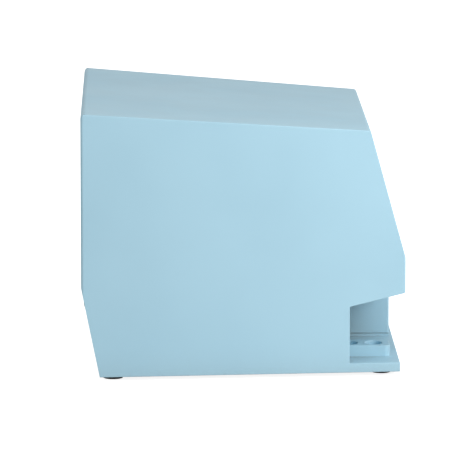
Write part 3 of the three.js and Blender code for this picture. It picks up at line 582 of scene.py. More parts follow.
def loft(rings):
    """A closed mesh over rings of points that all have the same count."""
    bm = bmesh.new()
    made = [[bm.verts.new(p) for p in ring] for ring in rings]
    count = len(made[0])
    for lower, upper in zip(made, made[1:]):
        for i in range(count):
            j = (i + 1) % count
            bm.faces.new((lower[i], lower[j], upper[j], upper[i]))
    bm.faces.new(list(reversed(made[0])))
    bm.faces.new(made[-1])
    return bm


def plate(outline, low, high, edge=0.0, arc=3):
    """A flat plate over an outline, with its upper edge rounded by insetting the outline."""
    def ring(inset, level):
        moved = inset_outline(outline, inset)
        return [Vector((p.x, p.y, level)) for p in moved]

    rings = [ring(0, low)]
    if edge > 0:
        for turn in quarter_turn(arc):
            rings.append(ring(edge * (1 - math.cos(turn)), high - edge * (1 - math.sin(turn))))
    else:
        rings.append(ring(0, high))
    return loft(rings)


def inset_outline(outline, inset):
    """The outline moved in by the same distance all round."""
    if inset == 0:
        return list(outline)
    moved = []
    count = len(outline)
    for i, here in enumerate(outline):
        before = (here - outline[i - 1]).normalized()
        after = (outline[(i + 1) % count] - here).normalized()
        inward = Vector((-(before.y + after.y), before.x + after.x)).normalized()
        lean = max(0.5, inward.dot(Vector((-before.y, before.x))))
        moved.append(here + inward * inset / lean)
    return moved


def turned(profile, segments):
    """A body of revolution about Z from (radius, height) points that start and end on the axis."""
    bm = bmesh.new()
    rings = []
    for radius, height in profile:
        if radius < 1e-9:
            rings.append([bm.verts.new((0, 0, height))])
            continue
        angles = [2 * math.pi * k / segments for k in range(segments)]
        rings.append([bm.verts.new((radius * math.cos(a), radius * math.sin(a), height)) for a in angles])
    for lower, upper in zip(rings, rings[1:]):
        for i in range(segments):
            j = (i + 1) % segments
            corners = [
                lower[i % len(lower)], lower[j % len(lower)], upper[j % len(upper)], upper[i % len(upper)]
            ]
            unique = list(dict.fromkeys(corners))
            if len(unique) > 2:
                bm.faces.new(unique)
    bmesh.ops.recalc_face_normals(bm, faces=bm.faces)
    return bm


def block(low, high):
    """A box between two corners."""
    low, high = Vector(low), Vector(high)
    bm = bmesh.new()
    place = Matrix.Translation((low + high) / 2) @ Matrix.Diagonal((*(high - low), 1))
    bmesh.ops.create_cube(bm, size=1, matrix=place)
    return bm


def depth_beside(face, edge):
    """How far a face reaches away from one of its edges."""
    start = edge.verts[0].co
    along = (edge.verts[1].co - start).normalized()
    return max((v.co - start - along * (v.co - start).dot(along)).length for v in face.verts)


def mark_edges(bm, width, chosen):
    """Writes on every edge that turns how much it is rounded, as a share of the widest rounding.

    An edge that the chosen rule has no width for takes the plain one, or less beside a narrow face.
    """
    weight = bm.edges.layers.float.new("bevel_weight_edge")
    bm.normal_update()
    widths = {}
    for edge in bm.edges:
        if edge.is_manifold and edge.calc_face_angle() > BEND_ANGLE:
            special = chosen(edge) if chosen else None
            room = ROOM_FOR_ROUNDING * min(depth_beside(face, edge) for face in edge.link_faces)
            widths[edge] = special or min(width, room)
    widest = max(widths.values())
    for edge, own in widths.items():
        edge[weight] = own / widest
    # Rounding keeps a face with a hole in it whole only where it is split into triangles.
    bmesh.ops.triangulate(bm, faces=[face for face in bm.faces if len(face.verts) > 4])
    return widest


def joined(*parts):
    """Several meshes as one, each left as its own island."""
    bm = bmesh.new()
    for part in parts:
        copy = bpy.data.meshes.new("part")
        part.to_mesh(copy)
        bm.from_mesh(copy)
        bpy.data.meshes.remove(copy)
        part.free()
    return bm


def as_object(name, bm):
    mesh = bpy.data.meshes.new(name)
    bm.to_mesh(mesh)
    bm.free()
    made = bpy.data.objects.new(name, mesh)
    bpy.context.scene.collection.objects.link(made)
    return made


def carved(solid, *cutters):
    """One mesh with others cut out of it."""
    target = as_object("carve_target", solid)
    tools = [as_object("carve_tool", cutter) for cutter in cutters]
    for tool in tools:
        cut = target.modifiers.new("cut", "BOOLEAN")
        cut.operation = "DIFFERENCE"
        cut.solver = "EXACT"
        cut.object = tool
    bpy.context.view_layer.update()
    seen = target.evaluated_get(bpy.context.evaluated_depsgraph_get())
    bm = bmesh.new()
    bm.from_mesh(seen.to_mesh())
    for used in (target, *tools):
        bpy.data.objects.remove(used)
    bmesh.ops.remove_doubles(bm, verts=bm.verts, dist=1e-7)
    bmesh.ops.dissolve_limit(bm, angle_limit=math.radians(0.5), verts=bm.verts, edges=bm.edges)
    return bm


def cad_copy(node):
    """A CAD node's shape with its flat faces made whole again."""
    bm = bmesh.new()
    bm.from_mesh(frame["nodes"][node].data)
    bmesh.ops.remove_doubles(bm, verts=bm.verts, dist=2e-6)
    bmesh.ops.dissolve_limit(bm, angle_limit=math.radians(0.6), verts=bm.verts, edges=bm.edges)
    return bm


def body_of(node):
    return frame["nodes"][node]["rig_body"]


def piece(name, bm, material, body, stands_for=(), place=None, edge=0.0, segments=3, chosen=None):
    """Puts a finished mesh in the scene on its body, with its material."""
    if place is not None:
        bm.transform(place)
    bmesh.ops.recalc_face_normals(bm, faces=bm.faces)
    widest = mark_edges(bm, edge, chosen) if edge > 0 else 0
    made = as_object(name, bm)
    made.data.materials.append(material)
    made.data.shade_smooth()
    made.data.set_sharp_from_angle(angle=SMOOTH_ANGLE)
    if edge > 0:
        rounding = made.modifiers.new("rounding", "BEVEL")
        rounding.width = widest
        rounding.segments = segments
        rounding.limit_method = "WEIGHT"
        rounding.use_clamp_overlap = False
        rounding.loop_slide = False
    shading = made.modifiers.new("even_shading", "WEIGHTED_NORMAL")
    shading.weight = 80
    shading.keep_sharp = True
    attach(made, body)
    if stands_for:
        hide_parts(*stands_for)
    return made


def softened(node, width, material, segments=3, chosen=None):
    """The CAD node with its edges rounded, in place of the plain one."""
    return piece(
        f"fine_{node}", cad_copy(node), material, body_of(node), (node,), edge=width, segments=segments,
        chosen=chosen
    )


def local_box(node, turn):
    """Lowest and highest corner of a CAD node along a turned set of directions."""
    back = turn.inverted()
    points = [back @ v.co for v in frame["nodes"][node].data.vertices]
    low = Vector([min(p[i] for p in points) for i in range(3)])
    high = Vector([max(p[i] for p in points) for i in range(3)])
    return low, high


def on_face(node, turn, lift=0.0):
    """A place at the middle of a node's outer face, with Z pointing out of it."""
    low, high = local_box(node, turn)
    middle = (low + high) / 2
    return turn @ Matrix.Translation((middle.x, middle.y, high.z + lift))


def shift(place, x=0.0, y=0.0, z=0.0):
    return place @ Matrix.Translation((x, y, z))


def ring_plate(width, height, radius, band, low, high):
    """A flat rounded frame of a given band width."""
    outer = rounded_outline(width, height, radius)
    inner = inset_outline(outer, band)
    bm = bmesh.new()
    loops = []
    for outline, level in ((outer, low), (outer, high), (inner, high), (inner, low)):
        loops.append([bm.verts.new((p.x, p.y, level)) for p in outline])
    for here, there in zip(loops, loops[1:] + loops[:1]):
        for i in range(len(here)):
            j = (i + 1) % len(here)
            bm.faces.new((here[i], here[j], there[j], there[i]))
    return bm


def flat_shape(points, low, high):
    """A thin plate over any outline, given counter-clockwise."""
    return loft([[(x, y, level) for x, y in points] for level in (low, high)])


# ------------------------------------------------------------------------------------------
# Repeated details
# ------------------------------------------------------------------------------------------


def screw(name, place, body, radius, head):
    """A pan-head screw with a cross recess, its head standing out along the place's Z."""
    sunk = 0.0002
    dome = [(radius * math.cos(turn), head * math.sin(turn)) for turn in quarter_turn(6)[1:-1]]
    solid = turned([(0, -sunk), (radius, -sunk), *dome, (0, head)], 32)
    arm, width, depth = radius * 0.62, radius * 0.13, head * 0.6
    cross = [block((-a, -b, head - depth), (a, b, head + depth)) for a, b in ((arm, width), (width, arm))]
    piece(name, carved(solid, *cross), bright_steel(), body, place=place)


def printed_mark(name, points, place, body, ink):
    """A flat mark of ink on a face."""
    piece(name, flat_shape(points, 0, INK), ink, body, place=place)


def arrow(size):
    """Outline of an arrowhead that points along +X."""
    return [(-size / 2, -size * 0.6), (size / 2, 0), (-size / 2, size * 0.6)]


def disc(radius, steps):
    turns = [2 * math.pi * k / steps for k in range(steps)]
    return [(radius * math.cos(turn), radius * math.sin(turn)) for turn in turns]


def bar(x0, y0, x1, y1, half):
    """Outline of a straight bar between two points."""
    along = Vector((x1 - x0, y1 - y0)).normalized() * half
    side = Vector((-along.y, along.x))
    start, end = Vector((x0, y0)), Vector((x1, y1))
    corners = (start - along - side, end + along - side, end + along + side, start - along + side)
    return [tuple(c) for c in corners]


def on_back_slope(x, z):
    """A place on the sloping foot of the back, with Z pointing out of it."""
    run, rise = BACK_SLOPE
    y = CAD_HIGH.y - (BACK_BEND_Z - z) * run / rise
    lean = math.atan2(run, rise)
    return Matrix.Translation((x, y, z)) @ Matrix.Rotation(-math.pi / 2 - lean, 4, "X")


# ------------------------------------------------------------------------------------------
# Operators
# ------------------------------------------------------------------------------------------


class STATION_OT_stage(bpy.types.Operator):
    """Make the camera, the lights and the floor"""

    bl_idname = "station.stage"
    bl_label = "Stage"

    def execute(self, context):
        look = context.scene.station_stage
        self.camera(context.scene, look)
        self.floor(look)
        self.lights(context.scene, look)
        context.scene.view_settings.view_transform = "Standard"
        return {"FINISHED"}

    def camera(self, scene, look):
        level = math.cos(look.elevation)
        across, back = level * math.cos(look.azimuth), level * math.sin(look.azimuth)
        towards = Vector((across, back, -math.sin(look.elevation)))
        made = bpy.data.objects.new("camera", bpy.data.cameras.new("camera"))
        made.data.lens = look.lens
        made.location = Vector((0, look.aim_forward, look.aim_up)) - towards * look.distance
        made.rotation_euler = towards.to_track_quat("-Z", "Y").to_euler()
        scene.collection.objects.link(made)
        scene.camera = made

    def floor(self, look):
        half, thick, below = 30.0, 0.02, 0.0002
        finish = Finish("floor", Roughness=0.9)
        grain = finish.place(fine_grain(), Size=0.02, Drift=1.5)
        tint = Vector(look.floor)
        finish.put("Base Color", finish.mix(grain["Tone"], tint, tint * 0.99))
        finish.put("Emission Color", (1.0, 1.0, 1.0, 1.0))
        seen = finish.node("ShaderNodeLightPath").outputs["Is Camera Ray"]
        finish.put("Emission Strength", finish.maths("MULTIPLY", seen, look.bright))
        made = as_object("floor", block((-half, -half, -thick), (half, half, -below)))
        made.data.materials.append(finish.material)

    def lights(self, scene, look):
        world = bpy.data.worlds.new("surround")
        world.use_nodes = True
        sky = Tree(world.node_tree)
        seen = sky.node("ShaderNodeLightPath").outputs["Is Camera Ray"]
        ground = world.node_tree.nodes["Background"]
        sky.feed(ground.inputs["Color"], (1.0, 1.0, 1.0, 1.0))
        white = sky.maths("MULTIPLY", seen, look.sky_seen)
        sky.feed(ground.inputs["Strength"], sky.maths("ADD", look.sky, white))
        scene.world = world
        lamp = bpy.data.lights.new("key_light", "AREA")
        lamp.size = look.key_size
        lamp.energy = look.key
        where = Vector((-0.9, -0.75, 0.7))
        made = bpy.data.objects.new("key_light", lamp)
        made.location = where
        made.rotation_euler = (Vector((0, 0, look.aim_up)) - where).to_track_quat("-Z", "Y").to_euler()
        scene.collection.objects.link(made)


class STATION_OT_cover(bpy.types.Operator):
    """Make the folded cover and the base plate it stands on"""

    bl_idname = "station.cover"
    bl_label = "Cover and Base"

    def execute(self, context):
        edges = context.scene.station_edges
        softened("cover_shell", edges.rim, cover_paint(), 5, self.top_edge)
        softened("base_plate", edges.housing, cover_paint())
        return {"FINISHED"}

    def top_edge(self, edge):
        """Width for an edge round the top face: widest along the back, fine along the sides."""
        edges = bpy.context.scene.station_edges
        middle = (edge.verts[0].co + edge.verts[1].co) / 2
        along = (edge.verts[1].co - edge.verts[0].co).normalized()
        fall = (CAD_HIGH.z - TOP_FRONT.z) / (CAD_HIGH.y - TOP_FRONT.y)
        surface = CAD_HIGH.z - (CAD_HIGH.y - middle.y) * fall
        near = 0.0006
        if middle.z < surface - near:
            return None
        end = edges.back if middle.y > 0 else edges.front
        return edges.cover + (end - edges.cover) * along.x ** 2


class STATION_OT_front(bpy.types.Operator):
    """Make the front panel, the coin niche and the lower housing"""

    bl_idname = "station.front"
    bl_label = "Front Panels"

    def execute(self, context):
        edges = context.scene.station_edges
        softened("front_panel", edges.panel, cover_paint())
        softened("niche_liner", edges.panel, cover_paint())
        softened("lower_front_housing", edges.housing, cover_paint())
        self.plinth("housing_plinth")
        return {"FINISHED"}

    def plinth(self, node):
        """The strip under the lower housing, drawn down to the base so that no gap shows."""
        strip = cad_copy(node)
        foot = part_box(node)[0].z
        for corner in strip.verts:
            if corner.co.z < foot + MM / 10:
                corner.co.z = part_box("base_plate")[1].z
        piece(f"fine_{node}", strip, cover_paint(), body_of(node), (node,))


class STATION_OT_feet(bpy.types.Operator):
    """Turn the four rubber feet and their screws"""

    bl_idname = "station.feet"
    bl_label = "Feet"

    def execute(self, context):
        for end in ("rear", "front"):
            for side in ("left", "right"):
                self.foot(f"foot_{end}_{side}")
        return {"FINISHED"}

    def foot(self, node):
        low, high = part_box(node)
        radius, height = (high.x - low.x) / 2, high.z - low.z
        curve, sink, hole, lip = 0.0012, 0.0038, 0.0018, 0.0003
        narrowed = radius * 0.97
        lower = [(radius - curve + curve * math.sin(turn), curve - curve * math.cos(turn))
                 for turn in quarter_turn(6)]
        profile = [(0, hole), (sink, hole), (sink, lip), (sink + lip, 0), *lower, (narrowed, height),
                   (0, height)]
        middle = Matrix.Translation(((low.x + high.x) / 2, (low.y + high.y) / 2, low.z))
        body = body_of(node)
        piece(f"fine_{node}", turned(profile, 56), rubber(), body, (node,), middle)
        upside_down = shift(middle, z=hole) @ Matrix.Rotation(math.pi, 4, "X")
        screw(f"{node}_screw", upside_down, body, 0.0031, 0.0014)


class STATION_OT_tray(bpy.types.Operator):
    """Mould the coin tray with its two cups, and hang the flap behind it"""

    bl_idname = "station.tray"
    bl_label = "Coin Tray"

    corner = 0.006
    cup_along = 0.008
    cup_across = 0.0115
    cup_depth = 0.008
    cups_before_back = (0.266, 0.290)

    def execute(self, context):
        edges = context.scene.station_edges
        low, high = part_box("coin_tray")
        middle = (low + high) / 2
        outline = [p + middle.xy for p in rounded_outline(high.x - low.x, high.y - low.y, self.corner, 12)]
        body = plate(outline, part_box("base_plate")[1].z, high.z, edges.tray, 5)
        cutters = [self.cup_cutter(middle.x, CAD_HIGH.y - s, high.z) for s in self.cups_before_back]
        piece("fine_coin_tray", carved(body, *cutters), moulded("tray"), body_of("coin_tray"),
              ("coin_tray",))
        softened("coin_return_flap", edges.fine, moulded("flap"))
        softened("flap_pin", edges.fine / 2, bright_steel())
        return {"FINISHED"}

    def cup_cutter(self, x, y, top):
        """What is cut out for a cup: round below, flared at the rim and drawn out to an oval."""
        curve, rim, above = 0.0030, 0.0011, 0.001
        radius, floor = self.cup_along, -self.cup_depth
        foot = [(radius - curve + curve * math.sin(turn), floor + curve * (1 - math.cos(turn)))
                for turn in quarter_turn(6)]
        lip = [(radius + rim * (1 - math.cos(turn)), -rim + rim * math.sin(turn)) for turn in quarter_turn(6)]
        profile = [(0, floor), *foot, *lip, (radius + rim, above), (0, above)]
        cutter = turned(profile, 72)
        oval = Matrix.Diagonal((self.cup_across / self.cup_along, 1, 1, 1))
        cutter.transform(Matrix.Translation((x, y, top)) @ oval)
        return cutter


class STATION_OT_display(bpy.types.Operator):
    """Build the screen: clear glass, its black border, the lit panel and the parts behind"""

    bl_idname = "station.display"
    bl_label = "Display"

    border = 0.012
    corner = 0.0036

    def execute(self, context):
        edges = context.scene.station_edges
        low, high = local_box("display_glass", PANEL)
        size = high - low
        top = on_face("display_glass", PANEL)
        pane = plate(rounded_outline(size.x, size.y, self.corner), -size.z, 0, 0.0003)
        piece("fine_display_glass", pane, clear_glass(), "cabinet", ("display_glass",), top)
        inside, thick, behind = 0.0004, 0.00025, 0.0003
        ring = ring_plate(size.x - inside, size.y - inside, self.corner - inside / 2, self.border, 0, thick)
        piece("display_border", ring, gloss_black(), "cabinet",
              place=shift(top, z=-size.z - behind))
        softened("lcd_module", edges.fine, moulded("dark"))
        softened("display_bracket", edges.fine, sheet_steel())
        softened("switch_board", edges.fine / 2, circuit_board())
        self.picture(size)
        return {"FINISHED"}

    def picture(self, size):
        """A lit page of plain shapes: a head bar, a clock dial, three fields and a foot bar."""
        face = on_face("lcd_module", PANEL, LIT_FILM / 2)
        width, height = size.x - self.border, size.y - self.border
        page = plate(rounded_outline(width, height, 0.001), 0, LIT_FILM)
        piece("screen_page", page, lit("screen_page", (0.10, 0.26, 0.34), 1.1), "cabinet",
              place=face)
        wide = width - 2 * self.border
        tall = height - 2 * self.border
        shapes = {
            "head_bar": ((0, tall * 0.42), (wide, tall * 0.13), (0.05, 0.13, 0.19)),
            "field_upper": ((wide * 0.17, tall * 0.20), (wide * 0.58, tall * 0.15), (0.62, 0.80, 0.86)),
            "field_middle": ((wide * 0.17, 0.0), (wide * 0.58, tall * 0.15), (0.62, 0.80, 0.86)),
            "field_lower": ((wide * 0.17, -tall * 0.20), (wide * 0.58, tall * 0.15), (0.80, 0.74, 0.35)),
            "foot_bar": ((0, -tall * 0.43), (wide, tall * 0.06), (0.22, 0.42, 0.50)),
        }
        for name, ((x, y), (w, h), tint) in shapes.items():
            shape = plate(rounded_outline(w, h, 0.002), 0, LIT_FILM)
            piece(f"screen_{name}", shape, lit(f"lit_{name}", tint, 1.0), "cabinet",
                  place=shift(face, x, y, LIT_FILM))
        dial = shift(face, -wide * 0.33, 0, LIT_FILM)
        radius = tall * 0.19
        round_face = flat_shape(disc(radius, 56), 0, LIT_FILM)
        piece("screen_dial", round_face, lit("lit_dial", (0.72, 0.84, 0.88), 1.0), "cabinet",
              place=dial)
        for name, (x, y) in {"hour": (0.0, 0.55), "minute": (0.62, 0.0)}.items():
            hand = flat_shape(bar(0, 0, x * radius, y * radius, radius * 0.055), 0, LIT_FILM)
            piece(f"screen_{name}_hand", hand, lit("lit_hands", (0.03, 0.07, 0.10), 0.4), "cabinet",
                  place=shift(dial, z=LIT_FILM))


class STATION_OT_keys(bpy.types.Operator):
    """Build the menu keys and the two round keys with their symbols"""

    bl_idname = "station.keys"
    bl_label = "Keys"

    menu_corner = 0.004
    round_corner = 0.0109
    stroke_half = 0.0008
    # The two strokes of each symbol: name, height above the key and ends.
    cross = (
        ("rising", FILM_GAP, (-0.0036, -0.0036, 0.0036, 0.0036)),
        ("falling", 0, (-0.0036, 0.0036, 0.0036, -0.0036)),
    )
    tick = (
        ("short", 0, (-0.0042, 0.0002, -0.0012, -0.0030)),
        ("long", FILM_GAP, (-0.0012, -0.0030, 0.0044, 0.0036)),
    )

    def execute(self, context):
        for k in range(4):
            self.menu_key(f"menu_button_{k + 1}")
        self.round_key("cancel", self.cross)
        self.round_key("confirm", self.tick)
        return {"FINISHED"}

    def menu_key(self, node):
        place = self.cap(node, moulded("key", 0.38), "key_plastic", self.menu_corner)
        to_the_left = [(-x, -y) for x, y in arrow(0.0052)]
        printed_mark(f"{node}_arrow", to_the_left, place, body_of(node), printed("ink"))

    def round_key(self, meaning, strokes):
        """A round key with a symbol of two strokes, one lifted clear of the other."""
        node, slot = f"{meaning}_button", f"{meaning}_plastic"
        place = self.cap(node, moulded(meaning, 0.34), slot, self.round_corner)
        for name, lift, ends in strokes:
            printed_mark(f"{meaning}_{name}_stroke", bar(*ends, self.stroke_half), shift(place, z=lift),
                         body_of(node), printed("light"))

    def cap(self, node, material, slot, radius):
        """A key with a rounded rim and a shallow dished top, over its retaining flange."""
        flange_step, skirt = 0.002, 0.0014
        low, high = local_box(node, PANEL)
        size = high - low
        width, height = size.x - 2 * flange_step, size.y - 2 * flange_step
        outline = rounded_outline(width, height, radius, 14)
        edge, dish, rim = 0.0009, 0.00018, 0.00198
        rings = [[(p.x, p.y, -size.z + skirt / 2) for p in outline]]
        for turn in quarter_turn(5):
            moved = inset_outline(outline, edge * (1 - math.cos(turn)))
            rings.append([(p.x, p.y, -edge * (1 - math.sin(turn))) for p in moved])
        rings.append([(p.x, p.y, -dish) for p in inset_outline(outline, rim)])
        foot = rounded_outline(size.x, size.y, radius + flange_step * 0.9, 14)
        flange = plate(foot, -size.z, -size.z + skirt, 0.0003)
        place = on_face(node, PANEL)
        piece(f"fine_{node}", joined(loft(rings), flange), material, body_of(node), (node,), place)
        return shift(place, z=-dish)


class STATION_OT_reader(bpy.types.Operator):
    """Build the contactless reader with its lamps and the outline of a card"""

    bl_idname = "station.reader"
    bl_label = "Contactless Reader"

    def execute(self, context):
        low, high = local_box("contactless_reader", PANEL)
        size = high - low
        top = on_face("contactless_reader", PANEL)
        step, body_top, pad_low, corner = 0.003, -0.0041, -0.0046, 0.008
        pad = plate(rounded_outline(size.x, size.y, corner, 12), pad_low, 0, 0.0008, 5)
        half_x, half_y = size.x / 2 - step, size.y / 2 - step
        body = block((-half_x, -half_y, -size.z), (half_x, half_y, body_top))
        piece("fine_contactless_reader", joined(pad, body), gloss_black(), "cabinet",
              ("contactless_reader",), top)
        white = printed("light")
        card = ring_plate(0.040, 0.0252, 0.003, 0.0007, 0, INK + FILM_GAP)
        piece("reader_card_outline", card, white, "cabinet", place=shift(top, y=-0.004))
        inside = 0.004
        rim = ring_plate(size.x - inside, size.y - inside, 0.0066, 0.0006, 0, INK)
        piece("reader_rim_line", rim, white, "cabinet", place=top)
        self.lamps(shift(top, y=size.y * 0.36))
        return {"FINISHED"}

    def lamps(self, row):
        """Four small lamps in a row, the first of them lit."""
        count, pitch = 4, 0.0105
        lit_lamp = lit("lamp_on", (0.10, 0.85, 0.25), 1.6)
        dark_lamp = lit("lamp_off", (0.05, 0.09, 0.06), 0.0)
        for k in range(count):
            lamp = plate(rounded_outline(0.006, 0.0024, 0.0012), 0, 0.0003, 0.0002)
            piece(f"reader_lamp_{k + 1}", lamp, dark_lamp if k else lit_lamp, "cabinet",
                  place=shift(row, (k - (count - 1) / 2) * pitch))


class STATION_OT_slots(bpy.types.Operator):
    """Build the slot surrounds, the coin return button and the speaker"""

    bl_idname = "station.slots"
    bl_label = "Slots"

    def execute(self, context):
        edges = context.scene.station_edges
        softened("card_slot_bezel", edges.fine, moulded("dark"))
        softened("receipt_slot_bezel", edges.fine, moulded("dark"))
        softened("coin_slot_bezel", edges.fine, bright_steel())
        softened("speaker", edges.fine, moulded("dark"))
        self.speaker_cloth()
        self.light_strips()
        self.return_button()
        self.marks()
        return {"FINISHED"}

    def speaker_cloth(self):
        """A thin dark cloth between the speaker and the sound slots."""
        low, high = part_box("speaker")
        thick, before, beyond, inside = 0.0002, 0.0001, 0.0045, 0.0020
        cloth = block((low.x - beyond, low.y - before - thick, low.z + inside),
                      (high.x + beyond, low.y - before, high.z - inside))
        piece("speaker_cloth", cloth, moulded("dark"), "cabinet")

    def light_strips(self):
        """A lit line above each mouth, to show where the card and the receipt go."""
        width, height, above = 0.048, 0.0012, 0.0052
        tints = {"card_slot_bezel": (0.15, 0.75, 0.35), "receipt_slot_bezel": (0.20, 0.45, 0.85)}
        for node, tint in tints.items():
            strip = plate(rounded_outline(width, height, height / 2, 6), 0, 0.00025, 0.0002)
            piece(f"{node}_light", strip, lit(f"{node}_light", tint, 0.9), "cabinet",
                  place=shift(on_face(node, FRONT), y=above))

    def return_button(self):
        """A turned push button with a dished face, its flange and its stem."""
        node = "coin_return_button"
        low, high = local_box(node, FRONT)
        back = low.z - high.z
        cap, edge, dish, bowl_radius = 0.007, 0.0007, 0.0005, 0.00504
        stem, flange, flange_back, flange_front = 0.0025, 0.009, -0.0058, -0.0043
        steps = 5
        turns = quarter_turn(steps)
        rim = [(cap - edge + edge * math.cos(turn), -edge + edge * math.sin(turn)) for turn in turns]
        bowl = [(bowl_radius * (1 - k / steps), -dish * math.sin(turns[k])) for k in range(steps)]
        profile = [(0, back), (stem, back), (stem, flange_back), (flange, flange_back),
                   (flange, flange_front), (cap, flange_front), *rim, *bowl, (0, -dish)]
        piece(f"fine_{node}", turned(profile, 64), bright_steel(), body_of(node), (node,),
              on_face(node, FRONT))

    def marks(self):
        """Plain marks of ink above two slots: a card and a sheet, each with an arrow."""
        proud, arrow_size, beside = 0.0012, 0.0046, 0.006
        inward = arrow(arrow_size)
        down = [(y, -x) for x, y in inward]
        marks = {
            "card": (0.0133, rounded_pairs(0.012, 0.0066, 0.0009), 0.006, inward),
            "receipt": (0.0150, rounded_pairs(0.0072, 0.0098, 0.0006), 0.005, down),
        }
        for name, (above, outline, left, pointer) in marks.items():
            place = shift(on_face(f"{name}_slot_bezel", FRONT, -proud), y=above)
            for kind, points, x in (("mark", outline, -left), ("arrow", pointer, beside)):
                printed_mark(f"{name}_{kind}", points, shift(place, x=x), "cabinet", printed("ink"))


class STATION_OT_door(bpy.types.Operator):
    """Build the rear service door with its hinges, lock and seal"""

    bl_idname = "station.door"
    bl_label = "Rear Door"

    def execute(self, context):
        edges = context.scene.station_edges
        softened("rear_door", edges.panel, cover_paint())
        softened("lock_body", edges.fine, bright_steel())
        softened("lock_cam", edges.fine, bright_steel())
        softened("lock_strike", edges.fine, sheet_steel())
        for end in ("lower", "upper"):
            softened(f"hinge_leaf_{end}", edges.fine, sheet_steel())
            softened(f"hinge_pin_{end}", edges.fine / 2, bright_steel())
        self.seal()
        return {"FINISHED"}

    def seal(self):
        """A rubber lip behind the gap round the door, wider on the hinge side."""
        low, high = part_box("rear_door")
        back = CAD_HIGH.y
        inner, lock_outer, outer = 0.0035, 0.0015, 0.0016
        front, behind = back - 0.0068, back - 0.0053
        hinge_outer, hinge_inner = low.x - 0.0012, low.x + 0.0093
        lock_inner = high.x - inner
        strips = {
            "hinge": ((hinge_outer, low.z), (hinge_inner, high.z)),
            "lock": ((lock_inner, low.z), (high.x + lock_outer, high.z)),
            "lower": ((hinge_inner, low.z - outer), (lock_inner, low.z + inner)),
            "upper": ((hinge_inner, high.z - inner), (lock_inner, high.z + outer)),
        }
        for side, ((x0, z0), (x1, z1)) in strips.items():
            strip = block((x0, front, z0), (x1, behind, z1))
            piece(f"door_seal_{side}", strip, rubber(), "cabinet", edge=0.0005)


class STATION_OT_drawer(bpy.types.Operator):
    """Build the cash drawer, its front and its guide"""

    bl_idname = "station.drawer"
    bl_label = "Cash Drawer"

    def execute(self, context):
        edges = context.scene.station_edges
        softened("cash_box_front", edges.panel, cover_paint())
        softened("cash_box", edges.fine, sheet_steel())
        softened("cash_box_guide", edges.fine, sheet_steel())
        return {"FINISHED"}


class STATION_OT_coin_path(bpy.types.Operator):
    """Build the chute, the acceptor, the reject lever and the hopper"""

    bl_idname = "station.coin_path"
    bl_label = "Coin Path"

    def execute(self, context):
        fine = context.scene.station_edges.fine
        for node in ("coin_chute", "cash_deck"):
            softened(node, fine, sheet_steel())
        for node in ("reject_lever", "hopper_gearmotor"):
            softened(node, fine, cast_metal())
        softened("coin_acceptor", fine, moulded("dark"))
        for node in ("hopper_base", "hopper_bin"):
            softened(node, fine, moulded("dark"))
        softened("hopper_disc", fine, moulded("disc"))
        return {"FINISHED"}


class STATION_OT_printer(bpy.types.Operator):
    """Build the receipt printer and the roll of paper"""

    bl_idname = "station.printer"
    bl_label = "Printer"

    def execute(self, context):
        fine = context.scene.station_edges.fine
        softened("printer_frame", fine, moulded("dark"))
        softened("print_head", fine, cast_metal())
        softened("platen_roller", fine, rubber())
        softened("cutter_blade", fine / 2, bright_steel())
        softened("paper_roll_holder", fine, sheet_steel())
        softened("paper_roll", fine, roll_paper())
        return {"FINISHED"}


